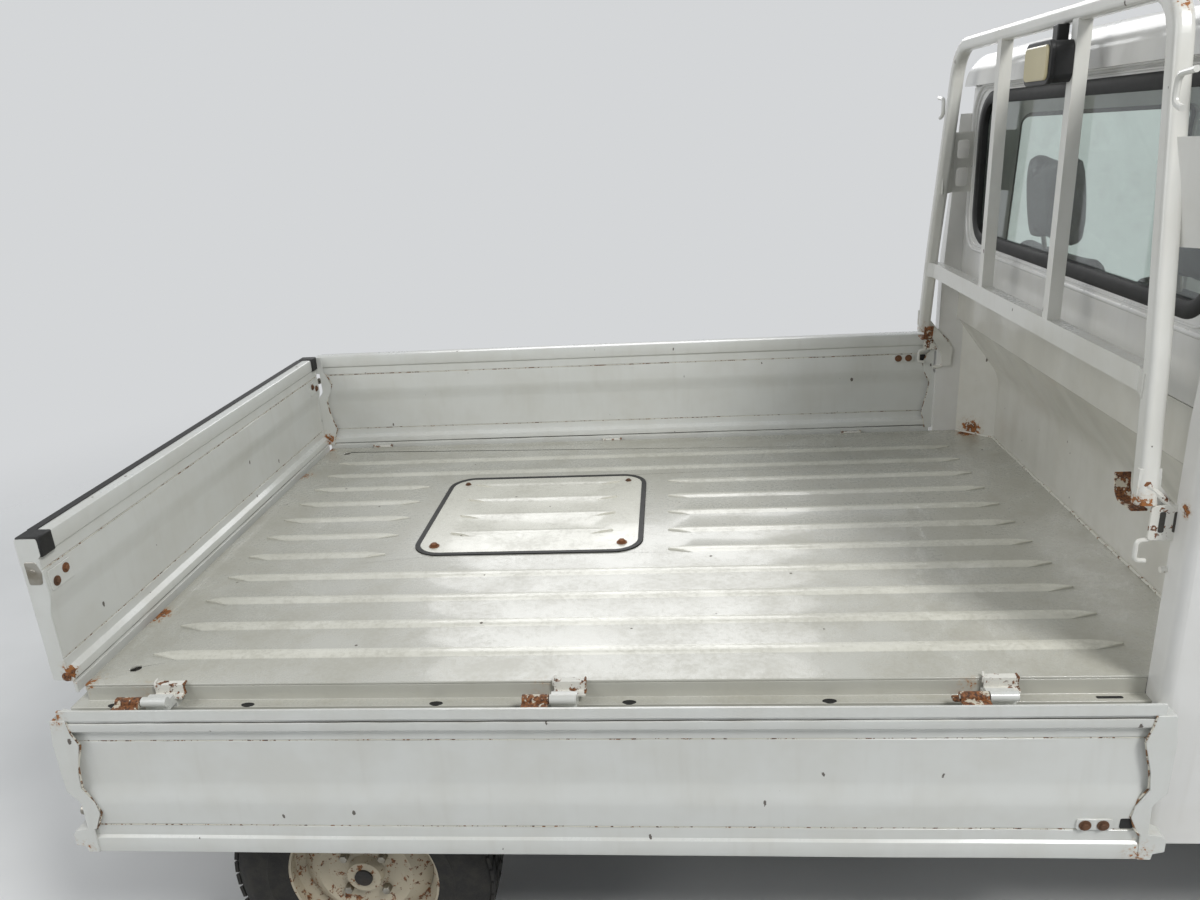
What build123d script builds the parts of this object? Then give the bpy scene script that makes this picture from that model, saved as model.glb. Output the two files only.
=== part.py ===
from build123d import *
import math
import os

# Kei truck with a drop-side bed. Millimetres, +X forward, +Y left, +Z up,
# origin on the ground under the middle of the whole vehicle.

# Overall sizes
LENGTH = 3395.0
ROOF_Z = 1785.0
REAR_OVERHANG = 540.0
FRONT_OVERHANG = 435.0
CAB_LEN = 1260.0
BED_INNER_W = 1380.0

# Wheels: tyre, steel rim and hub
TYRE_R = 265.0
TYRE_W = 145.0
TREAD_W = 112.0
TYRE_TUCK = 25.0
RIM_R = 169.0
RIM_SEAT_R = 152.4
RIM_WELL_R = 134.0
RIM_W = 126.0
RIM_T = 4.0
DISC_OUT = 34.0
HUB_R = 34.0
SPINDLE_R = 18.0
RUN_FIT = 0.05
STUD_PCD = 110.0
STUD_COUNT = 4
STUD_HOLE_R = 6.5

# Gates
GATE_T = 42.0
GATE_FOOT = 14.0
GATE_TOP = 305.0
LIP_UNDER = 12.0
LIP_T = 5.0
GATE_CLEAR = 7.0
GATE_STEPS = (
    # height over the floor, how far the face towards the load is set back
    (29.0, 0.0), (43.0, 12.0), (150.0, 12.0), (194.0, 3.0), (243.0, 5.0), (268.0, 5.0), (272.0, 0.0),
)
HINGE_W = 96.0
HINGE_R = 9.0
HINGE_PIN_R = 4.0
HINGE_GAP = 1.0
HINGE_LEAF_T = 8.0
LEAF_UNDER = 11.0
PIVOT_OUT = GATE_T - 6
SIDE_HINGE_BACK = 143.0
SIDE_HINGE_FRONT = 273.0
TAIL_HINGE_Y = 430.0
TAILGATE_HALF = 686.0

# Cargo bed
TAIL_X = -LENGTH / 2
NOSE_X = LENGTH / 2
BED_X0 = TAIL_X + PIVOT_OUT + HINGE_R
FLOOR_FRONT_X = NOSE_X - CAB_LEN
FLOOR_T = 5.0
EDGE_GAP = 11.0
FLOOR_HALF = BED_INNER_W / 2 - EDGE_GAP
FLOOR_BACK_X = BED_X0 + EDGE_GAP
CORNER_X = FLOOR_FRONT_X - 85
CORNER_HALF = FLOOR_HALF - 89
LEDGE_OUT = 23.0
LEDGE_HALF = FLOOR_HALF + LEDGE_OUT
LEDGE_DROP = 35.0
RAIL_H = 70.0
WHEEL_ROOM = 70.0
FLOOR_Z = 2 * TYRE_R + WHEEL_ROOM + RAIL_H + LEDGE_DROP
LEDGE_Z = FLOOR_Z - LEDGE_DROP
RAIL_LOW_Z = LEDGE_Z - RAIL_H
PIVOT_Z = FLOOR_Z - 7
PIVOT_Y = BED_INNER_W / 2 + PIVOT_OUT
BEAD_PITCH = 110.0
BEAD_SHIFT = -28.0
BEAD_EDGE = 100.0
BEAD_W = 36.0
BEAD_H = 4.0
BEAD_POINT = 60.0
BEAD_BACK = 90.0
BEAD_FRONT = 150.0
BEAD_COUNT = 1 + int(2 * (FLOOR_HALF - BEAD_EDGE) / BEAD_PITCH)
HATCH_X0 = BED_X0 + 494
HATCH_L = 558.0
HATCH_Y0 = -150.0
HATCH_W = 510.0
HATCH_R = 70.0
HATCH_MARGIN = 60.0
SEAL_W = 12.0
DRAIN_R = 11.0

# Frame under the body
FRAME_Z0 = TYRE_R + 135
FRAME_H = 100.0
FRAME_Z1 = FRAME_Z0 + FRAME_H
FRAME_W = 60.0

# Cab
CAB_Y = BED_INNER_W / 2 + GATE_T + 5.5
CAB_BACK_X = FLOOR_FRONT_X - 105
POST_X = CAB_BACK_X - 51
GATE_X0 = BED_X0 + GATE_CLEAR
GATE_X1 = POST_X - GATE_CLEAR
PANEL_T = 30.0
ROOF_CROWN = 12.0
SIDE_T = 45.0
SILL_Z = FRAME_Z0
BELT_Z = FLOOR_Z + 425
EAVE_Z = ROOF_Z - 85
EAVE_Y = CAB_Y - 69.5
FIREWALL_X = NOSE_X - 137.5
NOSE_FLAT_X = NOSE_X - 14.5
NOSE_TOP_Z = BELT_Z - 230
SCREEN_FOOT = (NOSE_X - 167.5, BELT_Z - 70)
SCREEN_HEAD = (NOSE_X - 657.5, ROOF_Z - 45)
SCREEN_IN = 16.0
SCREEN_SEAT = 34.0
SCREEN_HALF = EAVE_Y - 60
WALL_TOP_Z = FLOOR_Z + 450
WALL_T = 12.0
WALL_SHELF = 350.0
TRACK = 2 * (CAB_Y - TYRE_TUCK - TYRE_W / 2)
REAR_AXLE_X = TAIL_X + REAR_OVERHANG
FRONT_AXLE_X = NOSE_X - FRONT_OVERHANG
ARCH_R = TYRE_R + 53
ARCH_IN_Y = TRACK / 2 - 244
CAB_FLOOR_Z = SILL_Z + 82
SEAT_BOX_H = 258.0
LINER_T = 10.0
DOOR_X0 = CAB_BACK_X + 67.5
DOOR_X1 = FRONT_AXLE_X - ARCH_R + 30.5
DOOR_Z0 = SILL_Z + 40
DOOR_Z1 = EAVE_Z - 20
DOOR_GAP = 8.0
DOOR_PIVOT_X = DOOR_X1 - 8
DOOR_PIVOT_Y = CAB_Y - 7.5
DOOR_HINGE_Z = (SILL_Z + 160, BELT_Z - 120)
DOOR_HINGE_H = 24.0
DOOR_HINGE_R = 7.0
DOOR_FRAME = 55.0
GLASS_T = 5.0
GLASS_IN = 24.0
QUARTER_X0 = DOOR_X1 + 45
REAR_GLASS_Z0 = WALL_TOP_Z + 150
REAR_GLASS_Z1 = ROOF_Z - 117
REAR_GLASS_HALF = FLOOR_HALF - 89
REAR_GLASS_R = 75.0
BUMPER_LOW = 60.0
BUMPER_H = 180.0
BUMPER_T = 40.0
PLATE_PITCH = 210.0
PLATE_HOLE_R = 3.5

# Guard frame behind the cab
GUARD_X = CAB_BACK_X - 98
GUARD_TUBE = 32.0
GUARD_LEAN = 16.0
GUARD_KNEE_R = 270.0
GUARD_BEND_R = 90.0
GUARD_RUN = (
    # how far in from the floor's edge, height over the floor, share of the lean
    (7.0, 318.0, 0.0), (39.0, 560.0, 0.25), (139.0, 1092.0, 1.0),
)
GUARD_BRACE_T = 8.0
GUARD_BRACE = (
    # behind the cab's rear plane, height over the floor
    (115.0, 380.0), (115.0, 336.0), (91.0, 332.0), (41.0, 245.0), (37.0, 208.0), (11.0, 208.0),
    (9.0, 262.0), (79.0, 350.0), (81.0, 380.0),
)
GUARD_RAIL_LOW = 487.0
GUARD_RAIL_H = 40.0
GUARD_RAIL_T = 28.0
GUARD_RAIL_END = 46.0
GUARD_BAR_Y = 202.0
GUARD_BAR = 26.0
GUARD_STAY_Z = (718.0, 878.0)
GUARD_STAY_T = 4.0
LAMP_Y = -150.0
LAMP_W = 125.0
LAMP_H = 80.0
LAMP_DEPTH = 42.0

# Running gear
FRAME_Y = TRACK / 2 - 310
STEER_BALL_Y = TRACK / 2 - 50
STEER_BALL_Z = TYRE_R - 100
STEER_LEAN = math.tan(math.radians(14.67))
AXLE_R = 35.0
ENGINE_X0 = REAR_AXLE_X + 112
ENGINE_X1 = ENGINE_X0 + 400
ENGINE_Z0 = FRAME_Z0 - 110
ENGINE_Z1 = FLOOR_Z - 95
LEAF_REACH = (440.0, 330.0, 210.0)
LEAF_RISE = 60.0
LEAF_T = 8.0
LEAF_W = 50.0
LEAF_Y = FRAME_Y + 70


def box(x0, x1, y0, y1, z0, z1):
    """Block between two opposite corners."""
    return Pos((x0 + x1) / 2, (y0 + y1) / 2, (z0 + z1) / 2) * Box(x1 - x0, y1 - y0, z1 - z0)


def flat(points):
    """Face on the XY plane inside an outline; a corner's third value is its radius."""
    face = make_face(Polyline(*[(a, b) for a, b, *_ in points], close=True))
    for a, b, *radius in points:
        if radius:
            face = fillet(face.vertices().sort_by_distance((a, b, 0))[0], radius[0])
    return face


def side_profile(points, y0, y1):
    """Outline in X and Z, drawn out across the vehicle from y0 to y1."""
    plane = Plane((0, y1, 0), x_dir=(1, 0, 0), z_dir=(0, -1, 0))
    return extrude(plane * flat(points), amount=y1 - y0, dir=(0, -1, 0))


def front_profile(points, x0, x1):
    """Outline in Y and Z, drawn out along the vehicle from x0 to x1."""
    plane = Plane((x0, 0, 0), x_dir=(0, 1, 0), z_dir=(1, 0, 0))
    return extrude(plane * flat(points), amount=x1 - x0, dir=(1, 0, 0))


def plan_profile(points, z0, z1):
    """Outline in X and Y, drawn up from z0 to z1."""
    return extrude(Plane((0, 0, z0)) * flat(points), amount=z1 - z0, dir=(0, 0, 1))


def rod(start, end, radius):
    """Round bar between two points."""
    a, b = Vector(*start), Vector(*end)
    axis = b - a
    return Plane(origin=a, z_dir=axis.normalized()) * Cylinder(
        radius, axis.length, align=(Align.CENTER, Align.CENTER, Align.MIN)
    )


def mirrored(shape):
    """The same shape on the other side of the vehicle."""
    return mirror(shape, about=Plane.XZ)


def both_sides(shape):
    return Compound([*shape.solids(), *mirrored(shape).solids()])


def mirror_points(points):
    """Half an outline with Y first, closed over the middle plane."""
    return [*points, *((-first, *rest) for first, *rest in reversed(points) if first)]


def save(name, shape):
    export_step(shape, f"parts/{name}.step")


# Wheels, drawn about the origin with the outer face towards -Y


def tyre_solid():
    half, tread = TYRE_W / 2, TREAD_W / 2
    side_r = (TYRE_R + RIM_SEAT_R) / 2
    seat_half = RIM_W / 2 - 14
    face = flat([
        (RIM_SEAT_R, -seat_half), (RIM_R + 6, -seat_half - 4), (side_r, -half, 15), (TYRE_R, -tread, 12),
        (TYRE_R, tread, 12), (side_r, half, 15), (RIM_R + 6, seat_half + 4), (RIM_SEAT_R, seat_half),
    ])
    return revolve(face, axis=Axis.Y)


def rim_solid():
    half = RIM_W / 2
    seat = RIM_SEAT_R - 0.3
    inner = RIM_WELL_R - RIM_T
    barrel = flat([
        (RIM_R, -half), (RIM_R, -half + RIM_T), (seat, -half + 12), (seat, -half + 34), (RIM_WELL_R, -half + 48),
        (RIM_WELL_R, half - 44), (seat, half - 30), (seat, half - 12), (RIM_R, half - RIM_T), (RIM_R, half),
        (seat - RIM_T, half - 8), (inner, half - 40), (inner, -half + 46), (seat - RIM_T, -half + 32),
        (seat - RIM_T, -half + 8),
    ])
    bore, face = SPINDLE_R + RUN_FIT, -DISC_OUT
    disc = flat([
        (bore, face - 20), (HUB_R, face - 20), (HUB_R + 4, face - 2), (78, face - 2), (96, face - 10),
        (inner + 1, face + 14), (inner + 1, face + 22), (96, face - 4), (78, face + 4), (HUB_R, face + 18),
        (bore, face + 18),
    ])
    solid = revolve(barrel, axis=Axis.Y) + revolve(disc, axis=Axis.Y)
    for i in range(STUD_COUNT):
        turn = math.radians(45 + i * 360 / STUD_COUNT)
        x, z = STUD_PCD / 2 * math.cos(turn), STUD_PCD / 2 * math.sin(turn)
        solid -= rod((x, face - 30, z), (x, face + 30, z), STUD_HOLE_R)
    return solid


WHEELS = (
    # name, axle x, side (+1 left)
    ("front_left", FRONT_AXLE_X, 1), ("front_right", FRONT_AXLE_X, -1),
    ("rear_left", REAR_AXLE_X, 1), ("rear_right", REAR_AXLE_X, -1),
)


def make_wheels():
    tyre, rim = tyre_solid(), rim_solid()
    for name, axle_x, side in WHEELS:
        for kind, solid in (("tyre", tyre), ("rim", rim)):
            turned = solid if side < 0 else mirrored(solid)
            save(f"{kind}_{name}", Pos(axle_x, side * TRACK / 2, TYRE_R) * turned)


# Cargo bed


def hatch_outline(grow, z0, z1):
    sketch = RectangleRounded(HATCH_L + 2 * grow, HATCH_W + 2 * grow, HATCH_R + grow)
    centre = Pos(HATCH_X0 + HATCH_L / 2, HATCH_Y0 + HATCH_W / 2, z0)
    return extrude(centre * sketch, amount=z1 - z0, dir=(0, 0, 1))


def bead(y, x0, x1):
    """Raised stripe pressed in the floor, pointed at both ends."""
    half = BEAD_W / 2
    section = front_profile([
        (y - half, FLOOR_Z), (y - half / 2, FLOOR_Z + BEAD_H), (y + half / 2, FLOOR_Z + BEAD_H),
        (y + half, FLOOR_Z)], x0, x1)
    plan = plan_profile([
        (x0, y), (x0 + BEAD_POINT, y - half - 1), (x1 - BEAD_POINT, y - half - 1), (x1, y),
        (x1 - BEAD_POINT, y + half + 1), (x0 + BEAD_POINT, y + half + 1)], FLOOR_Z, FLOOR_Z + BEAD_H)
    return section & plan


def make_bed_floor():
    floor = plan_profile([
        (FLOOR_BACK_X, -FLOOR_HALF), (CORNER_X, -FLOOR_HALF), (FLOOR_FRONT_X, -CORNER_HALF),
        (FLOOR_FRONT_X, CORNER_HALF), (CORNER_X, FLOOR_HALF), (FLOOR_BACK_X, FLOOR_HALF)],
        FLOOR_Z - FLOOR_T, FLOOR_Z)
    floor -= hatch_outline(0, FLOOR_Z - 40, FLOOR_Z + 40)
    x0, x1 = BED_X0 + BEAD_BACK, FLOOR_FRONT_X - BEAD_FRONT
    hatch_y1 = HATCH_Y0 + HATCH_W
    beads = []
    for i in range(BEAD_COUNT):
        y = BEAD_SHIFT + (i - (BEAD_COUNT - 1) / 2) * BEAD_PITCH
        if HATCH_Y0 - BEAD_W < y < hatch_y1 + BEAD_W:
            beads.append(bead(y, x0, HATCH_X0 - HATCH_MARGIN))
            beads.append(bead(y, HATCH_X0 + HATCH_L + HATCH_MARGIN, x1))
        else:
            beads.append(bead(y, x0, x1))
    for side in (1, -1):
        drain = (FLOOR_BACK_X + 70, side * (FLOOR_HALF - 55))
        floor -= rod((*drain, FLOOR_Z - 20), (*drain, FLOOR_Z + 20), DRAIN_R)
    save("bed_floor", floor + beads)


def make_hatch():
    seal = hatch_outline(0, FLOOR_Z - FLOOR_T, FLOOR_Z + 3) - hatch_outline(-SEAL_W, FLOOR_Z - 20, FLOOR_Z + 20)
    save("hatch_seal", seal)
    lid = hatch_outline(-SEAL_W, FLOOR_Z - FLOOR_T, FLOOR_Z + 2)
    lid_x0, lid_x1 = HATCH_X0 + 75, HATCH_X0 + HATCH_L - 75
    beads = []
    for i in range(BEAD_COUNT):
        y = BEAD_SHIFT + (i - (BEAD_COUNT - 1) / 2) * BEAD_PITCH
        if HATCH_Y0 + SEAL_W + BEAD_W < y < HATCH_Y0 + HATCH_W - SEAL_W - BEAD_W:
            beads.append(Pos(0, 0, 2) * bead(y, lid_x0, lid_x1))
    save("engine_hatch", lid + beads)


def make_bed_rails():
    """Edge channels under the floor, with the ledge that carries the hinges."""
    top = FLOOR_Z - FLOOR_T
    side = front_profile(
        [(FLOOR_HALF, top), (FLOOR_HALF - 6, top), (FLOOR_HALF - 6, RAIL_LOW_Z), (LEDGE_HALF, RAIL_LOW_Z),
         (LEDGE_HALF, LEDGE_Z), (FLOOR_HALF, LEDGE_Z)], FLOOR_BACK_X, POST_X)
    inner = FLOOR_BACK_X
    rear = box(inner - LEDGE_OUT, inner + 6, -LEDGE_HALF, LEDGE_HALF, RAIL_LOW_Z, LEDGE_Z)
    rear += box(inner, inner + 6, -FLOOR_HALF, FLOOR_HALF, RAIL_LOW_Z, top)
    save("bed_edge_rails", side + mirrored(side) + rear)


def make_bed_crossmembers():
    """Folded bars from edge channel to edge channel, deeper where they stand on the frame."""
    top, low = FLOOR_Z - FLOOR_T, FRAME_Z1
    reach = FLOOR_HALF - 6
    hatch_x1 = HATCH_X0 + HATCH_L
    places = [
        FLOOR_BACK_X + 89, HATCH_X0 - 44, hatch_x1 + 78, (hatch_x1 + 78 + FLOOR_FRONT_X - 240) / 2,
        FLOOR_FRONT_X - 240,
    ]
    solids = []
    for x in places:
        bar = front_profile(mirror_points([
            (reach, top), (reach, top - 55), (FRAME_Y + 120, top - 75, 60), (FRAME_Y + 60, low, 30),
            (FRAME_Y - 30, low), (FRAME_Y - 60, low + 60, 40)]), x - 22, x + 22)
        solids += bar.solids()
    save("bed_crossmembers", Compound(solids))


def make_front_wall():
    """Wall between bed and cab, set back at the floor so that the bed is longer there."""
    inside, plane = FLOOR_FRONT_X + WALL_T, CAB_BACK_X
    shelf = FLOOR_Z + WALL_SHELF
    block = side_profile([
        (plane, FLOOR_Z - FLOOR_T), (plane, WALL_TOP_Z), (plane + PANEL_T, WALL_TOP_Z),
        (plane + PANEL_T, shelf + 12, 20), (inside, shelf - 150, 60), (inside, FLOOR_Z - FLOOR_T)],
        -FLOOR_HALF, FLOOR_HALF)
    room = side_profile([
        (plane - 50, FLOOR_Z - 50), (plane - 50, shelf + 8), (plane, shelf + 8, 30), (FLOOR_FRONT_X, shelf - 155, 110),
        (FLOOR_FRONT_X, FLOOR_Z - 50)], -FLOOR_HALF - 5, FLOOR_HALF + 5)
    plan = plan_profile([
        (plane - 60, -FLOOR_HALF - 5), (CORNER_X - 5, -FLOOR_HALF - 5), (CORNER_X, -FLOOR_HALF),
        (FLOOR_FRONT_X, -CORNER_HALF), (FLOOR_FRONT_X, CORNER_HALF), (CORNER_X, FLOOR_HALF),
        (CORNER_X - 5, FLOOR_HALF + 5), (plane - 60, FLOOR_HALF + 5)], FLOOR_Z - 50, shelf + 20)
    save("bed_front_wall", block - (room & plan) - floor_slab())


def floor_slab():
    return plan_profile([
        (CORNER_X - 20, -FLOOR_HALF), (CORNER_X, -FLOOR_HALF), (FLOOR_FRONT_X, -CORNER_HALF),
        (FLOOR_FRONT_X, CORNER_HALF), (CORNER_X, FLOOR_HALF), (CORNER_X - 20, FLOOR_HALF)],
        FLOOR_Z - FLOOR_T - 5, FLOOR_Z)


# Gates


def gate_section(inner, step):
    """Gate outline across its thickness; inner is the face towards the load, step its way outwards."""
    outer = inner + step * GATE_T
    lip = inner + step * LIP_T
    face = [(inner + step * back, FLOOR_Z + height) for height, back in reversed(GATE_STEPS)]
    return [
        (inner, FLOOR_Z - LIP_UNDER), (lip, FLOOR_Z - LIP_UNDER), (lip, FLOOR_Z + GATE_FOOT),
        (outer, FLOOR_Z + GATE_FOOT), (outer, FLOOR_Z + GATE_TOP), (inner + step * 2, FLOOR_Z + GATE_TOP), *face,
    ]


def hinge_knuckle():
    """Gate's half of a hinge at x = 0, drawn over the pivot at y = 0, z = 0, its leaf on the gate's lip."""
    low, high = -HINGE_W / 2, -HINGE_GAP
    return rod((low, 0, 0), (high, 0, 0), HINGE_R) + box(low, high, 1 - PIVOT_OUT, 0, 0, HINGE_LEAF_T)


def hinge_bore():
    return rod((-HINGE_W / 2 - 5, 0, 0), (0, 0, 0), HINGE_PIN_R + RUN_FIT)


def side_hinge_places():
    first, last = GATE_X0 + SIDE_HINGE_BACK, GATE_X1 - SIDE_HINGE_FRONT
    return first, (first + last) / 2, last


def side_gate_closed():
    """Left gate, shut."""
    inner = BED_INNER_W / 2
    gate = front_profile(gate_section(inner, 1), GATE_X0, GATE_X1)
    for x in side_hinge_places():
        place = Pos(x, PIVOT_Y, PIVOT_Z)
        gate = gate + place * hinge_knuckle() - place * hinge_bore()
    return gate


def tailgate_closed():
    gate = side_profile(gate_section(BED_X0, -1), -TAILGATE_HALF, TAILGATE_HALF)
    for y in (-TAIL_HINGE_Y, 0, TAIL_HINGE_Y):
        place = Pos(BED_X0 - PIVOT_OUT, y, PIVOT_Z) * Rot(0, 0, 90)
        gate = gate + place * hinge_knuckle() - place * hinge_bore()
    return gate


def make_gates():
    """Left gate and tailgate shut, right gate hanging open."""
    closed = side_gate_closed()
    save("gate_left", closed)
    save("gate_right", mirrored(closed).rotate(Axis((0, -PIVOT_Y, PIVOT_Z), (1, 0, 0)), 180))
    save("tailgate", tailgate_closed())


def hinge_leaf():
    """Fixed half of a side hinge at x = 0 on the left, from the ledge under the gate's lip to the barrel."""
    low, high = HINGE_GAP, HINGE_W / 2
    top = PIVOT_Z - LEAF_UNDER
    leaf = rod((low, PIVOT_Y, PIVOT_Z), (high, PIVOT_Y, PIVOT_Z), HINGE_R)
    leaf += rod((-high, PIVOT_Y, PIVOT_Z), (high, PIVOT_Y, PIVOT_Z), HINGE_PIN_R)
    leaf += box(low, high, LEDGE_HALF, PIVOT_Y - 4, top - HINGE_LEAF_T, PIVOT_Z)
    leaf += box(low, high, FLOOR_HALF + 2, LEDGE_HALF, top - HINGE_LEAF_T, top)
    leaf += box(low, high, FLOOR_HALF + 2, LEDGE_HALF - 2, LEDGE_Z, top)
    return leaf


def make_hinges():
    leaf = hinge_leaf()
    solids = []
    for x in side_hinge_places():
        solids += both_sides(Pos(x, 0, 0) * leaf).solids()
    turned = Pos(BED_X0 + BED_INNER_W / 2, 0, 0) * leaf.rotate(Axis.Z, 90)
    for y in (-TAIL_HINGE_Y, 0, TAIL_HINGE_Y):
        solids += (Pos(0, y, 0) * turned).solids()
    save("gate_hinges", Compound(solids))


# Cab shell


def cab_envelope():
    """Outside of the cab, where its three silhouettes meet."""
    front = front_profile(mirror_points([
        (CAB_Y, SILL_Z), (CAB_Y, BELT_Z, 700), (EAVE_Y, EAVE_Z + 25, 45), (EAVE_Y - 90, ROOF_Z - ROOF_CROWN, 120),
        (0, ROOF_Z, 15000)]), POST_X - 5, NOSE_X)
    side = side_profile([
        (POST_X, SILL_Z), (POST_X, WALL_TOP_Z, 600), (POST_X + 28, ROOF_Z + 6, 60),
        (SCREEN_HEAD[0] - 80, ROOF_Z + 6, 150),
        (*SCREEN_HEAD, 60), (*SCREEN_FOOT, 90), (NOSE_FLAT_X, NOSE_TOP_Z, 60), (NOSE_FLAT_X, SILL_Z)],
        -CAB_Y - 5, CAB_Y + 5)
    plan = plan_profile([
        (POST_X, -CAB_Y, 25), (FIREWALL_X, -CAB_Y, 120), (NOSE_FLAT_X, 97.5 - CAB_Y, 90),
        (NOSE_FLAT_X, CAB_Y - 97.5, 90), (FIREWALL_X, CAB_Y, 120), (POST_X, CAB_Y, 25)], SILL_Z - 5, ROOF_Z + 5)
    return front & plan & side


def cab_cavity():
    """Space inside the cab's walls."""
    back = CAB_BACK_X + PANEL_T
    front = front_profile(mirror_points([
        (CAB_Y - SIDE_T, SILL_Z - 50), (CAB_Y - SIDE_T, BELT_Z, 600), (EAVE_Y - SIDE_T, EAVE_Z - 10),
        (EAVE_Y - SIDE_T - 40, ROOF_Z - PANEL_T, 40)]), back - 1, NOSE_X + 50)
    side = side_profile([
        (back, SILL_Z - 50), (back, ROOF_Z - 18, 30), (SCREEN_HEAD[0] - 80, ROOF_Z - 18, 100),
        (SCREEN_HEAD[0] - 20, SCREEN_HEAD[1] - 20), (SCREEN_FOOT[0] - 35, SCREEN_FOOT[1] - 12),
        (NOSE_FLAT_X - 35, NOSE_TOP_Z - 20), (NOSE_FLAT_X - 35, SILL_Z - 50)], -CAB_Y, CAB_Y)
    return front & side


def door_outline(grow):
    """Door's edge seen from the side, drawn outwards on the left."""
    radius = 50 + grow
    return side_profile([
        (DOOR_X0 - grow, DOOR_Z0 - grow, radius), (DOOR_X1 + grow, DOOR_Z0 - grow, radius),
        (DOOR_X1 + grow, DOOR_Z1 + grow, radius), (DOOR_X0 - grow, DOOR_Z1 + grow, radius)], 300, CAB_Y + 20)


def quarter_outline():
    """Fixed window between the door and the screen pillar, drawn outwards on the left."""
    return side_profile([
        (QUARTER_X0, BELT_Z + 10, 20), (SCREEN_FOOT[0] - 110, BELT_Z - 15, 20),
        (SCREEN_HEAD[0] + 60, EAVE_Z - 60, 20), (QUARTER_X0, EAVE_Z - 30, 15)], 500, CAB_Y + 10)


def side_pane(x0, x1):
    """Glass of the left side, leaning in with the cab, from below the belt to the door's head."""
    low, high = BELT_Z - 20, DOOR_Z1 - DOOR_FRAME
    lean = (CAB_Y - EAVE_Y) / (EAVE_Z - BELT_Z)
    foot, head = CAB_Y - GLASS_IN, EAVE_Y + lean * (EAVE_Z - high) - GLASS_IN
    return front_profile([(foot, low), (head, high), (head + GLASS_T, high), (foot + GLASS_T, low)], x0, x1)


def screen_directions():
    """Unit vectors up the windshield and square to it, outwards."""
    slope = Vector(SCREEN_HEAD[0] - SCREEN_FOOT[0], 0, SCREEN_HEAD[1] - SCREEN_FOOT[1]).normalized()
    return slope, Vector(slope.Z, 0, -slope.X)


def screen_cut():
    """Windshield's opening through the shell."""
    return side_profile([
        (SCREEN_HEAD[0] - 60, SCREEN_HEAD[1] - 20), (SCREEN_FOOT[0] - 60, SCREEN_FOOT[1] + 14),
        (SCREEN_FOOT[0] + 60, SCREEN_FOOT[1] + 14), (SCREEN_HEAD[0] + 60, SCREEN_HEAD[1] - 20)],
        -SCREEN_HALF, SCREEN_HALF)


def lamp_recess():
    """Place of the left headlamp in the nose."""
    low, high = NOSE_TOP_Z - 205, NOSE_TOP_Z - 60
    return front_profile([
        (CAB_Y - 275, low + 25, 20), (CAB_Y - 100, low, 20), (CAB_Y - 85, high, 20), (CAB_Y - 265, high, 20)],
        NOSE_FLAT_X - 90, NOSE_X)


def make_cab(envelope, cavity):
    shell = envelope - cavity
    screen = screen_cut()
    roof = shell & box(POST_X - 5, SCREEN_HEAD[0] + 30, -CAB_Y, CAB_Y, EAVE_Z, ROOF_Z + 5)
    save("roof_panel", roof - screen)

    side = shell & box(POST_X - 5, NOSE_X, SCREEN_HALF - 30, CAB_Y + 5, SILL_Z - 5, EAVE_Z)
    side -= box(POST_X - 60, CAB_BACK_X + PANEL_T, 0, FLOOR_HALF, 0, ROOF_Z)
    side -= box(FIREWALL_X, NOSE_X, 0, CAB_Y + 5, 0, SCREEN_FOOT[1] + 40)
    side -= door_outline(DOOR_GAP)
    side -= rod((FRONT_AXLE_X, ARCH_IN_Y, TYRE_R), (FRONT_AXLE_X, CAB_Y + 10, TYRE_R), ARCH_R)
    side -= quarter_outline()
    side -= screen
    save("cab_side_left", side)
    save("cab_side_right", mirrored(side))
    save("quarter_glass", both_sides(side_pane(QUARTER_X0, SCREEN_FOOT[0]) & quarter_outline()))

    nose = shell & box(FIREWALL_X, NOSE_X, -CAB_Y, CAB_Y, SILL_Z + 120, SCREEN_FOOT[1])
    cowl = shell & box(SCREEN_FOOT[0] - 40, FIREWALL_X, 30 - SCREEN_HALF, SCREEN_HALF - 30,
                       NOSE_TOP_Z, SCREEN_FOOT[1])
    lamp = lamp_recess()
    save("front_panel", nose + cowl - lamp - mirrored(lamp) - screen)
    save("headlamps", both_sides(nose & lamp))


def make_rear_panel(envelope):
    panel = box(CAB_BACK_X, CAB_BACK_X + PANEL_T, -FLOOR_HALF, FLOOR_HALF, WALL_TOP_Z, EAVE_Z) & envelope
    outline = RectangleRounded(2 * REAR_GLASS_HALF, REAR_GLASS_Z1 - REAR_GLASS_Z0, REAR_GLASS_R)
    middle = (REAR_GLASS_Z0 + REAR_GLASS_Z1) / 2

    def window(x0, x1):
        plane = Plane((x0, 0, middle), x_dir=(0, 1, 0), z_dir=(1, 0, 0))
        return extrude(plane * outline, amount=x1 - x0)

    save("cab_rear_panel", panel - window(CAB_BACK_X - 20, CAB_BACK_X + PANEL_T + 20))
    save("rear_window", window(CAB_BACK_X + 10, CAB_BACK_X + 10 + GLASS_T))


def make_windshield():
    slope, normal = screen_directions()
    foot = Vector(SCREEN_FOOT[0], 0, SCREEN_FOOT[1]) + slope * SCREEN_SEAT - normal * SCREEN_IN
    head = Vector(SCREEN_HEAD[0], 0, SCREEN_HEAD[1]) - slope * SCREEN_SEAT - normal * SCREEN_IN
    corners = (foot, head, head + normal * GLASS_T, foot + normal * GLASS_T)
    save("windshield", side_profile([(p.X, p.Z) for p in corners], -SCREEN_HALF, SCREEN_HALF))
    blades = []
    start = Vector(SCREEN_FOOT[0], 0, SCREEN_FOOT[1]) - normal * (SCREEN_IN - GLASS_T - 7.3)
    low, high = start + slope * 32, start + slope * 110
    for y in (-420.0, 120.0):
        blades += rod((low.X, y, low.Z), (high.X, y + 430, high.Z), 7).solids()
    save("wipers", Compound(blades))


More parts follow.
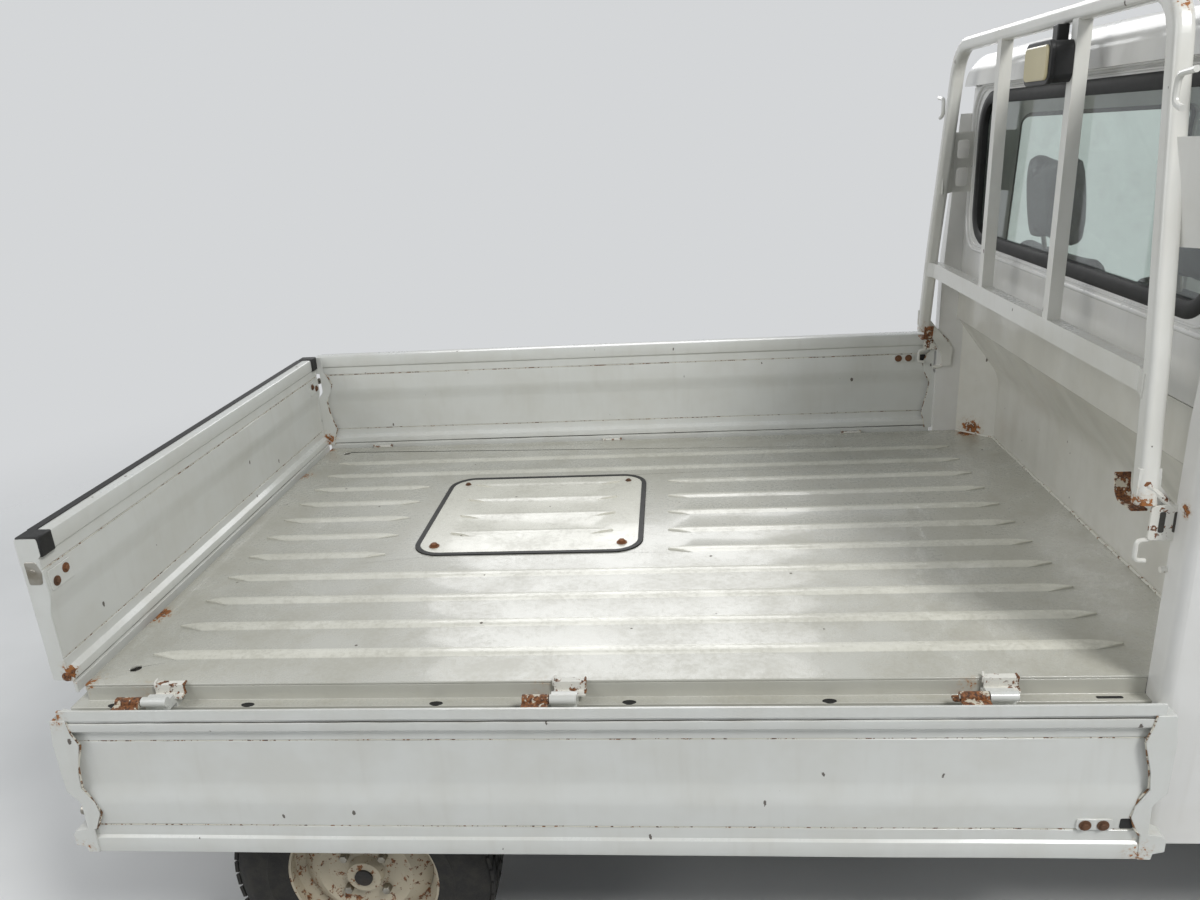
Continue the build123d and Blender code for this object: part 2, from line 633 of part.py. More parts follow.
def make_bumper():
    """Bumper round the nose, with a slotted mouth."""
    back, wing = NOSE_X - 110, CAB_Y - 4
    z0 = SILL_Z - BUMPER_LOW
    z1 = z0 + BUMPER_H
    outer = plan_profile([
        (back, -wing), (NOSE_X - 75, -wing, 60), (NOSE_X, 97.5 - CAB_Y, 60), (NOSE_X, CAB_Y - 97.5, 60),
        (NOSE_X - 75, wing, 60), (back, wing)], z0, z1)
    inset = BUMPER_T / 2 + 97.5
    inner = plan_profile([
        (back - 1, BUMPER_T - wing), (NOSE_X - 92, BUMPER_T - wing, 30), (NOSE_X - BUMPER_T, inset - CAB_Y, 30),
        (NOSE_X - BUMPER_T, CAB_Y - inset, 30), (NOSE_X - 92, wing - BUMPER_T, 30), (back - 1, wing - BUMPER_T)],
        z0 - 10, z1 + 10)
    bumper = outer - inner
    for i in range(3):
        z = z0 + 50 + i * 32
        bumper -= box(NOSE_X - 100, NOSE_X + 5, -300, 300, z, z + 16)
    for y in (-PLATE_PITCH / 2, PLATE_PITCH / 2):
        z = z0 + BUMPER_H - 22
        bumper -= rod((NOSE_X - 100, y, z), (NOSE_X + 5, y, z), PLATE_HOLE_R)
    save("front_bumper", bumper)


def door_hinge(z):
    """Door's half and body's half of one left hinge, the body's half with the pin."""
    x, y = DOOR_PIVOT_X, DOOR_PIVOT_Y
    low, mid, high = z - DOOR_HINGE_H, z, z + DOOR_HINGE_H
    bore = rod((x, y, low - 1), (x, y, high + 1), HINGE_PIN_R + RUN_FIT)
    moving = rod((x, y, low), (x, y, mid - HINGE_GAP), DOOR_HINGE_R)
    moving += box(x - 16, x, y - 12, y, low, mid - HINGE_GAP)
    fixed = rod((x, y, mid), (x, y, high), DOOR_HINGE_R) + rod((x, y, low), (x, y, high), HINGE_PIN_R)
    fixed += box(x, DOOR_X1 + DOOR_GAP, y - 5, y + 4, mid, high)
    return moving - bore, fixed


def make_doors(envelope, cavity):
    shell = (envelope - cavity) & box(POST_X, NOSE_X, SCREEN_HALF - 30, CAB_Y + 5, 0, ROOF_Z)
    window = side_profile([
        (DOOR_X0 + DOOR_FRAME, BELT_Z - 20, 30), (DOOR_X1 - DOOR_FRAME, BELT_Z - 20, 30),
        (DOOR_X1 - DOOR_FRAME, DOOR_Z1 - DOOR_FRAME, 30), (DOOR_X0 + DOOR_FRAME, DOOR_Z1 - DOOR_FRAME, 30)],
        500, CAB_Y + 20)
    panel = (shell & door_outline(0)) - window
    fixed = []
    for z in DOOR_HINGE_Z:
        moving, body_half = door_hinge(z)
        panel -= box(DOOR_PIVOT_X - 12, DOOR_X1 + 5, CAB_Y - SIDE_T - 5, CAB_Y + 5,
                     z - DOOR_HINGE_H - 4, z + DOOR_HINGE_H + 4)
        panel += moving
        fixed += body_half.solids()
    pane = side_pane(DOOR_X0 + DOOR_FRAME, DOOR_X1 - DOOR_FRAME) & window
    save("door_left", panel)
    save("door_right", mirrored(panel))
    save("door_hinges", both_sides(Compound(fixed)))
    save("door_glass_left", pane)
    save("door_glass_right", mirrored(pane))


def seat_box(back, half):
    """Box of plates that the seats stand on, open below."""
    front, top, inner = CAB_BACK_X + 547, CAB_FLOOR_Z + SEAT_BOX_H, half - WALL_T
    under = top - WALL_T
    return [
        box(back, front, -half, half, under, top),
        box(back, back + WALL_T, -half, half, CAB_FLOOR_Z, under),
        box(front - WALL_T, front, -half, half, CAB_FLOOR_Z, under),
        box(back + WALL_T, front - WALL_T, inner, half, CAB_FLOOR_Z, under),
        box(back + WALL_T, front - WALL_T, -half, -inner, CAB_FLOOR_Z, under),
    ], box(back + WALL_T, front - WALL_T, -inner, inner, SILL_Z, under)


def wheel_arch(side, grow):
    """Room for a front wheel, or with grow the outside of its liner."""
    inner, outer = side * (ARCH_IN_Y - grow), side * (CAB_Y - SIDE_T)
    return rod((FRONT_AXLE_X, inner, TYRE_R), (FRONT_AXLE_X, outer, TYRE_R), ARCH_R + grow)


def make_cab_floor():
    """Floor pan with its sills, seat box, back plate, firewall and wheel arches, a plate each."""
    back, front = FLOOR_FRONT_X + WALL_T, FIREWALL_X
    corner = CORNER_X + WALL_T
    wall = CAB_Y - SIDE_T
    half = wall - GATE_CLEAR
    low = CAB_FLOOR_Z - WALL_T
    box_plates, box_room = seat_box(back + 10, half - 20)
    pan = plan_profile([
        (back, -CORNER_HALF), (back, CORNER_HALF), (corner, FLOOR_HALF), (corner, half), (front - WALL_T, half),
        (front - WALL_T, -half), (corner, -half), (corner, -FLOOR_HALF)], low, CAB_FLOOR_Z) - box_room
    plates = [
        box(front - WALL_T, front, -half, half, low, NOSE_TOP_Z + 70),
        box(back, back + 10, -CORNER_HALF, CORNER_HALF, CAB_FLOOR_Z, FLOOR_Z + 40),
        *box_plates,
    ]
    for side in (1, -1):
        pan -= wheel_arch(side, LINER_T)
        room = box(DOOR_X1 + DOOR_GAP, front - WALL_T, -wall, wall, SILL_Z, SILL_Z + 500)
        plates.append((wheel_arch(side, LINER_T) & room) - wheel_arch(side, 0))
        plates.append(box(corner, DOOR_X1 - 30, *sorted((side * (half - 6), side * half)), SILL_Z + 20, low))
        plates.append(box(corner, DOOR_X1 - 30, *sorted((side * (half - 6), side * wall)), SILL_Z + 5, SILL_Z + 20))
    # The pan stops at the wheels' inner sides, so that it falls into three plain plates
    cuts = (back, FRONT_AXLE_X - ARCH_R, FRONT_AXLE_X + ARCH_R - 60, front)
    for x0, x1 in zip(cuts, cuts[1:]):
        plates.append(pan & box(x0, x1, -wall, wall, low - 1, CAB_FLOOR_Z + 1))
    save("cab_floor", Compound([solid for plate in plates for solid in plate.solids()]))


# Inside the cab


def make_seats():
    solids = []
    x = CAB_BACK_X + 60
    foot = CAB_FLOOR_Z + SEAT_BOX_H
    for y in (-330.0, 330.0):
        cushion = side_profile([
            (x + 98, foot), (x + 508, foot), (x + 538, foot + 60, 25), (x + 508, foot + 110, 40),
            (x + 108, foot + 90)], y - 235, y + 235)
        back = side_profile([
            (x + 100, foot + 60, 20), (x + 208, foot + 60, 20), (x + 108, foot + 590, 40), (x + 8, foot + 590, 40)],
            y - 225, y + 225)
        head = side_profile([
            (x + 20, foot + 570), (x + 90, foot + 570), (x + 78, foot + 790, 40), (x, foot + 790, 30)],
            y - 120, y + 120)
        solids += (cushion + back + head).solids()
    save("seats", Compound(solids))


def make_dashboard():
    half = CAB_Y - SIDE_T - 8
    back = FIREWALL_X - WALL_T
    top = NOSE_TOP_Z + 60
    body = side_profile([
        (back, top - 140), (back, top), (back - 68, top + 70, 40), (back - 318, top + 60, 50),
        (back - 348, top, 30), (back - 308, top - 120, 40), (back - 148, top - 160)], -half, half)
    centre = Vector(back - 458, -330, top + 50)
    tilt = Vector(-0.77, 0, 0.64).normalized()
    plane = Plane(origin=centre, x_dir=(0, 1, 0), z_dir=tilt)
    rim = revolve(Plane.XZ * Pos(180, 0) * RegularPolygon(14, 8), axis=Axis.Z)
    wheel = plane * (rim + Box(350, 36, 12) + Pos(0, 0, -4) * Cylinder(60, 24))
    wheel += rod(tuple(centre), tuple(centre - tilt * 175), 26)
    save("steering_wheel", wheel)
    save("dashboard", body - rod(tuple(centre), tuple(centre - tilt * 176), 26.3))


# Guard frame behind the cab


def guard_stay():
    """Bent plate with two windows that ties the left upright to the cab's back."""
    z0, z1 = (FLOOR_Z + height for height in GUARD_STAY_Z)
    y = FLOOR_HALF - 33
    bend = CAB_BACK_X - 49
    stay = plan_profile([
        (CAB_BACK_X, y), (CAB_BACK_X, y + GUARD_STAY_T), (bend - 2, y + GUARD_STAY_T), (GUARD_X + 2, y - 58),
        (GUARD_X + 6, y - 60), (bend, y)], z0, z1)
    for low in (z0 + 16, z0 + 90):
        stay -= side_profile([
            (bend + 7, low, 8), (CAB_BACK_X - 10, low, 8), (CAB_BACK_X - 10, low + 50, 8), (bend + 7, low + 50, 8)],
            y - 1, y + GUARD_STAY_T + 1)
    return stay


def make_guard_frame():
    x0 = GUARD_X
    corners, radii = [], []
    for side in (1, -1):
        run = [(x0 + GUARD_LEAN * share, side * (FLOOR_HALF - inward), FLOOR_Z + height)
               for inward, height, share in GUARD_RUN]
        corners += run if side > 0 else reversed(run)
        radii += (GUARD_KNEE_R, GUARD_BEND_R) if side > 0 else (GUARD_BEND_R, GUARD_KNEE_R)
    path = FilletPolyline(*corners, radius=radii)
    section = Plane(origin=path @ 0, x_dir=(1, 0, 0), z_dir=path % 0) * RectangleRounded(
        GUARD_TUBE, GUARD_TUBE, GUARD_TUBE * 0.3)
    frame = sweep(section, path=path)

    low = FLOOR_Z + GUARD_RAIL_LOW
    high = low + GUARD_RAIL_H
    straight = FLOOR_HALF - 79
    back = x0 + GUARD_RAIL_T
    frame += box(x0, back, -straight, straight, low, high)
    for side in (1, -1):
        frame += plan_profile([
            (x0, side * straight), (back, side * straight), (back - 14, side * (straight + GUARD_RAIL_END)),
            (x0 - 14, side * (straight + GUARD_RAIL_END))], low, high)
        frame += side_profile(
            [(CAB_BACK_X - behind, FLOOR_Z + height) for behind, height in GUARD_BRACE],
            *sorted((side * (FLOOR_HALF - GUARD_BRACE_T), side * FLOOR_HALF)))
    frame += guard_stay() + mirrored(guard_stay())
    top = FLOOR_Z + GUARD_RUN[-1][1] - GUARD_TUBE / 2 + 4
    for y in (-GUARD_BAR_Y, GUARD_BAR_Y):
        frame += side_profile([
            (x0 + 1, high - 6), (x0 + 1 + GUARD_BAR, high - 6), (x0 + 1 + GUARD_BAR, top), (x0 + 1, top)],
            y - GUARD_BAR / 2, y + GUARD_BAR / 2)
    save("guard_frame", frame)

    under = FLOOR_Z + GUARD_RUN[-1][1] - GUARD_TUBE / 2
    foot = under - LAMP_H - 26
    lamp = box(x0 - 4 - LAMP_DEPTH, x0 - 4, LAMP_Y - LAMP_W / 2, LAMP_Y + LAMP_W / 2, foot, foot + LAMP_H)
    lamp = fillet(lamp.edges().filter_by(Axis.X), 20)
    lamp += box(x0 - 10, x0 + 16, LAMP_Y - 12, LAMP_Y + 12, foot + LAMP_H - 10, under)
    save("work_lamp", lamp)


# Running gear


def make_chassis():
    outer, inner = FRAME_Y + FRAME_W / 2, FRAME_Y - FRAME_W / 2
    back = BED_X0 + 20
    rail = side_profile([
        (back, FRAME_Z0), (FIREWALL_X, FRAME_Z0), (FIREWALL_X, FRAME_Z1 - 30), (FLOOR_FRONT_X - 20, FRAME_Z1 - 30, 60),
        (FLOOR_FRONT_X - 80, FRAME_Z1, 60), (back, FRAME_Z1)], inner, outer)
    frame = rail + mirrored(rail)
    for x in (back + 30, ENGINE_X1 + 85, FLOOR_FRONT_X - 240, FRONT_AXLE_X - 360, FIREWALL_X - 60):
        frame += rod((x, -FRAME_Y, FRAME_Z0 + 35), (x, FRAME_Y, FRAME_Z0 + 35), 25)
    for x in (ENGINE_X0 + 45, ENGINE_X1 - 45):
        cradle = front_profile(mirror_points([
            (inner + 10, FRAME_Z0 + 5), (outer, FRAME_Z0 + 5), (outer, ENGINE_Z0 - 32, 40), ]), x - 20, x + 20)
        cradle -= box(x - 30, x + 30, -inner, inner, ENGINE_Z0, FRAME_Z1)
        frame += cradle
    eye_z = TYRE_R + AXLE_R + len(LEAF_REACH) * LEAF_T + LEAF_RISE
    for side in (1, -1):
        for x in (REAR_AXLE_X - LEAF_REACH[0], REAR_AXLE_X + LEAF_REACH[0]):
            frame += box(x - 22, x + 22, *sorted((side * FRAME_Y, side * (LEAF_Y + 30))), eye_z, FRAME_Z0 + 20)
    save("chassis_frame", frame)
    save("engine_block", box(ENGINE_X0, ENGINE_X1, 90 - FRAME_Y, FRAME_Y - 75, ENGINE_Z0, ENGINE_Z1))


def make_rear_axle():
    x = REAR_AXLE_X
    half = TRACK / 2
    axle = rod((x, 60 - half, TYRE_R), (x, half - 60, TYRE_R), AXLE_R)
    axle += Pos(x, 60, TYRE_R) * Sphere(95)
    for side in (1, -1):
        axle += rod((x, side * (half - 60), TYRE_R), (x, side * (half + 4), TYRE_R), 105)
        axle += rod((x, side * half, TYRE_R), (x, side * (half + DISC_OUT + 24), TYRE_R), SPINDLE_R)
    save("rear_axle", axle)
    outline = leaf_outline()
    springs = [side_profile(outline, y - LEAF_W / 2, y + LEAF_W / 2) for y in (-LEAF_Y, LEAF_Y)]
    save("leaf_springs", Compound(springs))


def leaf_outline():
    """Leaves lying on one another, each shorter than the one above it."""
    base = TYRE_R + AXLE_R

    def curve(offset, layer):
        return (REAR_AXLE_X + offset, base + LEAF_RISE * (offset / LEAF_REACH[0]) ** 2 + layer * LEAF_T)

    count = len(LEAF_REACH)
    reaches = [reach * side for side in (-1, 1) for reach in LEAF_REACH]
    top = [curve(offset, count) for offset in sorted([*reaches, 0])]
    under = []
    for layer, reach in enumerate(LEAF_REACH):
        under.append(curve(reach, count - layer - 1))
        if layer + 1 < count:
            under.append(curve(LEAF_REACH[layer + 1], count - layer - 1))
    under_left = [(2 * REAR_AXLE_X - x, z) for x, z in reversed(under)]
    return top + under + [curve(0, 0)] + under_left


def steer_point(z):
    """Point on the left steering axis at height z."""
    return (FRONT_AXLE_X, STEER_BALL_Y - STEER_LEAN * (z - STEER_BALL_Z), z)


def make_front_axle():
    half = TRACK / 2
    x, axis_y = FRONT_AXLE_X, steer_point(TYRE_R)[1]
    low, high = STEER_BALL_Z + 20, TYRE_R + 85
    knuckle = rod(steer_point(low), steer_point(high), 26)
    knuckle += rod((x, axis_y, TYRE_R), (x, half + DISC_OUT + 24, TYRE_R), SPINDLE_R)
    knuckle += rod((x, half - 19, TYRE_R), (x, half - 9, TYRE_R), 104)
    knuckle += rod((x, half - 50, TYRE_R), (x, half + 4, TYRE_R), 45)
    knuckle += box(x - 118, x, axis_y - 30, axis_y - 8, TYRE_R - 50, TYRE_R - 34)
    knuckle -= rod(steer_point(low - 5), steer_point(low + 30), 10 + RUN_FIT)
    knuckle -= rod(steer_point(high - 30), steer_point(high + 5), 10 + RUN_FIT)
    save("knuckle_left", knuckle)
    save("knuckle_right", mirrored(knuckle))

    arm = plan_profile([
        (x - 20, STEER_BALL_Y), (x + 20, STEER_BALL_Y), (x + 40, FRAME_Y + 10), (x + 40, FRAME_Y - 30),
        (x - 40, FRAME_Y - 30), (x - 40, FRAME_Y + 10)], STEER_BALL_Z - 13, STEER_BALL_Z + 7)
    arm += rod(steer_point(STEER_BALL_Z - 15), steer_point(low - 1), 22)
    arm += rod(steer_point(STEER_BALL_Z - 5), steer_point(low + 25), 10)
    strut_top = TYRE_R + ARCH_R - 8
    strut = rod(steer_point(high + 2), steer_point(strut_top), 22)
    strut += rod(steer_point(high - 25), steer_point(high + 10), 10)
    strut += rod(steer_point(strut_top - 120), steer_point(strut_top - 15), 42)
    member = box(x - 45, x + 45, -FRAME_Y - 20, FRAME_Y + 20, STEER_BALL_Z + 7, STEER_BALL_Z + 50)
    for side in (1, -1):
        member += box(x - 45, x + 45, *sorted((side * (FRAME_Y - 30), side * (FRAME_Y + 20))),
                      STEER_BALL_Z - 15, FRAME_Z0)
    half_gear = arm + strut
    save("front_suspension", Compound([*(member + half_gear + mirrored(half_gear)).solids()]))


def make_underbody():
    outer = FRAME_Y + FRAME_W / 2
    tank_x = REAR_AXLE_X + LEAF_REACH[0] + 238
    tank = box(tank_x, tank_x + 430, outer, FLOOR_HALF - 39, FRAME_Z0 - 110, FRAME_Z1 - 5)
    save("fuel_tank", fillet(tank.edges().filter_by(Axis.Y), 30))
    x, z = BED_X0 + 192.5, FRAME_Z0 - 50
    muffler = rod((x, -210, z), (x, 210, z), 72) + rod((x, -150, z), (x - 180, -150, z), 18)
    muffler += box(x - 10, x + 10, -230, 230, z, FRAME_Z0 + 15)
    for side in (1, -1):
        muffler += box(x - 10, x + 10, *sorted((side * 226, side * (FRAME_Y - FRAME_W / 2))),
                       FRAME_Z0 + 2, FRAME_Z0 + 12)
    save("exhaust", muffler)
    back = FLOOR_BACK_X - LEDGE_OUT - 10
    lamp = box(back, back + 40, FLOOR_HALF - 179, FLOOR_HALF - 7, RAIL_LOW_Z - 80, RAIL_LOW_Z)
    save("rear_lamps", both_sides(fillet(lamp.edges().filter_by(Axis.X), 12)))


def make_mirrors():
    x, z = DOOR_X1 + 145, BELT_Z - 35
    head = box(x - 20, x + 20, CAB_Y + 37.5, CAB_Y + 157.5, z + 75, z + 295)
    head = fillet(head.edges().filter_by(Axis.X), 28)
    arm = rod((x, CAB_Y, z), (x, CAB_Y + 68.5, z), 9)
    arm += rod((x, CAB_Y + 62.5, z - 5), (x, CAB_Y + 62.5, z + 105), 9)
    save("side_mirrors", both_sides(head + arm))


def main():
    os.makedirs("parts", exist_ok=True)
    make_wheels()
    make_bed_floor()
    make_hatch()
    make_bed_rails()
    make_bed_crossmembers()
    make_front_wall()
    make_gates()
    make_hinges()
    envelope, cavity = cab_envelope(), cab_cavity()
    make_cab(envelope, cavity)
    make_rear_panel(envelope)
    make_windshield()
    make_bumper()
    make_doors(envelope, cavity)
    make_cab_floor()
    make_seats()
    make_dashboard()
    make_guard_frame()
    make_chassis()
    make_rear_axle()
    make_front_axle()
    make_underbody()
    make_mirrors()


main()
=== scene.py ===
import math

import bmesh
import bpy
from mathutils import Matrix, Vector, noise


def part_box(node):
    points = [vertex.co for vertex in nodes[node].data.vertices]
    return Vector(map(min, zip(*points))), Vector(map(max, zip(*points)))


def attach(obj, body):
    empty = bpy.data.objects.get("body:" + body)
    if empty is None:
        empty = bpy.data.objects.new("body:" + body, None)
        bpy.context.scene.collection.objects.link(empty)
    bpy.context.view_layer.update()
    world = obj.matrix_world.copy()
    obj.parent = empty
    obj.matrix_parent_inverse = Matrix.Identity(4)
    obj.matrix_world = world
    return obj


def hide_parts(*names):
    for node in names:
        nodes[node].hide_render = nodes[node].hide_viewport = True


# Kei truck with a drop-side bed. Metres in Blender, +X forward, +Y left, +Z up.
# Pieces are drawn in millimetres in the same frame and scaled down once.

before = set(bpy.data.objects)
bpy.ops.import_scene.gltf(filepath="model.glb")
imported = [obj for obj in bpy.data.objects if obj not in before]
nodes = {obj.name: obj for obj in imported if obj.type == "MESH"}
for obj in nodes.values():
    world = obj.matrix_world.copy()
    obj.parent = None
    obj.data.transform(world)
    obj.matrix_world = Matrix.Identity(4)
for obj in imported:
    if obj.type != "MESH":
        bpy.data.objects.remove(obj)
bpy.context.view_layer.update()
MM = 0.001

# The dents and the hand-laid beads come out the same each run
noise.seed_set(3)


def corners(node_name):
    """Lowest and highest corner of a node, in millimetres."""
    low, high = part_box(node_name)
    return low / MM, high / MM


# Places taken from the frame, in millimetres
FLOOR_LOW, FLOOR_HIGH = corners("bed_floor")
FLOOR_Z = FLOOR_LOW.z + 5
BED_X0 = corners("tailgate")[1].x
INNER_Y = corners("gate_left")[0].y
PLANE_X = corners("bed_front_wall")[0].x
CAB_Y = corners("cab_side_left")[1].y
NOSE_X = corners("front_bumper")[1].x
PIVOT_Z = FLOOR_Z - 7
# The hinges' ledge lies this far under the floor
LEDGE_DROP = 35
SIDES = (("left", 1), ("right", -1))

# Shapes: each is (points, faces) in millimetres


def prism(outline, low, high, axis):
    """Outline drawn out along an axis: X takes (y, z), Y takes (x, z) and Z takes (x, y)."""
    order = {"X": (2, 0, 1), "Y": (0, 2, 1), "Z": (0, 1, 2)}[axis]
    points = [tuple((a, b, c)[k] for k in order) for c in (low, high) for a, b in outline]
    n = len(outline)
    faces = [tuple(range(n)), tuple(range(n, 2 * n))]
    faces += [(i, (i + 1) % n, n + (i + 1) % n, n + i) for i in range(n)]
    return points, faces


def box(x0, x1, y0, y1, z0, z1):
    return prism([(x0, y0), (x1, y0), (x1, y1), (x0, y1)], z0, z1, "Z")


def rounded(corners, steps=5):
    """Outline with arcs at its corners; a corner's third value is its radius."""
    outline = []
    for i, (a, b, *radius) in enumerate(corners):
        here = Vector((a, b))
        if not radius:
            outline.append((a, b))
            continue
        before = (Vector(corners[i - 1][:2]) - here).normalized()
        after = (Vector(corners[(i + 1) % len(corners)][:2]) - here).normalized()
        half = before.angle(after) / 2
        centre = here + (before + after).normalized() * radius[0] / math.sin(half)
        first = here + before * radius[0] / math.tan(half) - centre
        last = here + after * radius[0] / math.tan(half) - centre
        for k in range(steps + 1):
            arm = first.lerp(last, k / steps).normalized() * radius[0]
            outline.append(tuple(centre + arm))
    return outline


def slab(axis, across, up, thick, radius):
    """Plate with round corners; its ranges follow the outline's two directions and the axis."""
    (a0, a1), (b0, b1) = across, up
    outline = rounded([(a0, b0, radius), (a1, b0, radius), (a1, b1, radius), (a0, b1, radius)])
    return prism(outline, *thick, axis)


def circle(radius, sides):
    turns = [math.tau * i / sides for i in range(sides)]
    return [(radius * math.cos(turn), radius * math.sin(turn)) for turn in turns]


def bands(rings, sides, closed=False):
    """Faces between each ring of points and the next, and over both ends unless it is closed."""
    faces = []
    for i in range(rings if closed else rings - 1):
        a, b = i * sides, (i + 1) % rings * sides
        faces += [(a + k, a + (k + 1) % sides, b + (k + 1) % sides, b + k) for k in range(sides)]
    if not closed:
        faces += [tuple(range(sides)), tuple(range((rings - 1) * sides, rings * sides))]
    return faces


def sweep(path, section, closed=False, up=(0, 0, 1)):
    """Section (across, up) carried along a path without twisting."""
    path = [Vector(p) for p in path]
    count = len(path)
    points = []
    side = None
    for i, here in enumerate(path):
        before = path[i - 1] if closed or i else here
        after = path[(i + 1) % count] if closed or i < count - 1 else here
        ahead = (after - before).normalized()
        if side is None:
            side = ahead.cross(Vector(up))
            side = side if side.length > 0.01 else ahead.cross(Vector((1, 0, 0)))
        else:
            side = side - ahead * side.dot(ahead)
        side = side.normalized()
        over = side.cross(ahead)
        # At a bend the section is widened, so that it keeps its thickness
        wider = 1.0
        if min((here - before).length, (after - here).length) > 0.001:
            wider = 1 / max(0.4, math.cos((here - before).angle(after - here) / 2))
        points += [tuple(here + side * a * wider + over * b) for a, b in section]
    return points, bands(count, len(section), closed)


def rod(start, end, radius, sides=16):
    return sweep([start, end], circle(radius, sides))


def tube(path, radius, sides=12, closed=False):
    return sweep(path, circle(radius, sides), closed)


def bent(corners, radius, steps=5):
    """Open path whose inner corners are bent round."""
    corners = [Vector(c) for c in corners]
    path = [corners[0]]
    for before, here, after in zip(corners, corners[1:], corners[2:]):
        to_before, to_after = (before - here), (after - here)
        reach = min(radius, to_before.length * 0.49, to_after.length * 0.49)
        start, end = here + to_before.normalized() * reach, here + to_after.normalized() * reach
        for k in range(steps + 1):
            t = k / steps
            path.append(start * (1 - t) ** 2 + here * 2 * t * (1 - t) + end * t ** 2)
    return path + [corners[-1]]


def lathe(profile, at, direction, sides=32, closed=False):
    """Profile of (radius, along) turned about a line from at; a closed profile makes a ring."""
    turn = Vector(direction).normalized().to_track_quat("Z", "Y")
    points = [tuple(Vector(at) + turn @ Vector((a, b, height)))
              for radius, height in profile for a, b in circle(max(radius, 0.01), sides)]
    return points, bands(len(profile), sides, closed)


def bolt(at, direction, across, washer=1.9):
    """Hexagon head with its washer, standing on the surface at that point."""
    r = across / 2
    ring = lathe([(0, 0), (r * washer, 0), (r * washer, r * 0.3), (0, r * 0.3)], at, direction, 20)
    head = [(0, 0), (r * 1.15, 0), (r * 1.15, r * 0.9), (r * 0.95, r * 1.1), (0, r * 1.1)]
    return joined([ring, lathe(head, at, direction, 6)])


def joined(shapes):
    points, faces = [], []
    for more_points, more_faces in shapes:
        base = len(points)
        points += more_points
        faces += [tuple(base + i for i in face) for face in more_faces]
    return points, faces


def moved(shape, change):
    """Shape with every point passed through a function."""
    points, faces = shape
    return [tuple(change(Vector(p))) for p in points], faces


def other_side(shape):
    return moved(shape, lambda p: (p.x, -p.y, p.z))


def both_sides(shapes):
    return list(shapes) + [other_side(shape) for shape in shapes]


def round_edges(thing, width_mm, angle):
    """Rounds the edges that are sharper than an angle in degrees."""
    rounding = thing.modifiers.new("rounded_edges", "BEVEL")
    rounding.width = width_mm * MM
    rounding.segments = 2
    rounding.limit_method = "ANGLE"
    rounding.angle_limit = math.radians(angle)


def piece(name, shapes, material, body="body", soft=0.0, sharp=35, stands_for=()):
    """Joins shapes into one piece with a finish, riding on a body; soft rounds its edges, in millimetres."""
    mesh = bpy.data.meshes.new(name)
    work = bmesh.new()
    for points, faces in shapes:
        verts = [work.verts.new(Vector(p) * MM) for p in points]
        for face in faces:
            try:
                work.faces.new([verts[i] for i in face])
            except ValueError:
                # Two outlines that meet can name the same face twice
                pass
        bmesh.ops.recalc_face_normals(work, faces=list({face for vert in verts for face in vert.link_faces}))
    bmesh.ops.dissolve_degenerate(work, dist=1e-6, edges=work.edges[:])
    for edge in work.edges:
        edge.smooth = len(edge.link_faces) == 2 and edge.calc_face_angle(0.0) < math.radians(sharp)
    for face in work.faces:
        face.smooth = True
    work.to_mesh(mesh)
    work.free()
    made = bpy.data.objects.new(name, mesh)
    bpy.context.scene.collection.objects.link(made)
    mesh.materials.append(material)
    if soft:
        round_edges(made, soft, sharp)
    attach(made, body)
    if stands_for:
        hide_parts(*stands_for)
    return made


# Materials


def linear(hex_colour):
    """sRGB hex colour as linear red, green, blue, alpha."""
    levels = [int(hex_colour[i:i + 2], 16) / 255 for i in (1, 3, 5)]
    return tuple(v / 12.92 if v <= 0.04045 else ((v + 0.055) / 1.055) ** 2.4 for v in levels) + (1.0,)


def node(tree, kind, inputs=(), **settings):
    """Adds a node; inputs is {socket: value or output of another node}."""
    made = tree.nodes.new(kind)
    for key, value in settings.items():
        setattr(made, key, value)
    for socket, value in dict(inputs).items():
        if isinstance(value, bpy.types.NodeSocket):
            tree.links.new(value, made.inputs[socket])
        else:
            made.inputs[socket].default_value = value
    return made
def feed(shader, socket, value):
    """Links an output to one of the shader's sockets."""
    shader.id_data.links.new(value, shader.inputs[socket])
def surface(name, **sockets):
    """Empty material with its shader; sockets are the shader's own values."""
    material = bpy.data.materials.new(name)
    material.use_nodes = True
    tree = material.node_tree
    shader = tree.nodes["Principled BSDF"]
    for socket, value in sockets.items():
        shader.inputs[socket.replace("_", " ")].default_value = value
    return material, tree, shader


def place(tree):
    """Position in the truck's frame, which stays with the piece as it moves."""
    return node(tree, "ShaderNodeTexCoord").outputs["Object"]


def grain(tree, size_mm, detail=4.0, roughness=0.6, stretch=(1, 1, 1)):
    """Noise whose features are about size_mm across, longer along an axis by its stretch."""
    where = node(tree, "ShaderNodeMapping", {0: place(tree), "Scale": tuple(1 / s for s in stretch)})
    made = node(tree, "ShaderNodeTexNoise", {
        "Vector": where.outputs[0], "Scale": 1 / (size_mm * MM), "Detail": detail, "Roughness": roughness})
    return made.outputs["Fac"]


def ramp(tree, value, low, high, to_low=0.0, to_high=1.0, soft=True):
    """Value stretched from low..high to to_low..to_high and clamped."""
    made = node(tree, "ShaderNodeMapRange", {
        "Value": value, "From Min": low, "From Max": high, "To Min": to_low, "To Max": to_high},
        interpolation_type="SMOOTHSTEP" if soft else "LINEAR")
    return made.outputs["Result"]


def blend(tree, amount, first, second):
    """Colour between two, each an output or a hex string."""
    made = node(tree, "ShaderNodeMix", {"Factor": amount}, data_type="RGBA")
    for index, colour in ((6, first), (7, second)):
        if isinstance(colour, str):
            made.inputs[index].default_value = linear(colour)
        else:
            tree.links.new(colour, made.inputs[index])
    return made.outputs[2]


def maths(tree, operation, first, second=0.5):
    return node(tree, "ShaderNodeMath", {0: first, 1: second}, operation=operation).outputs[0]


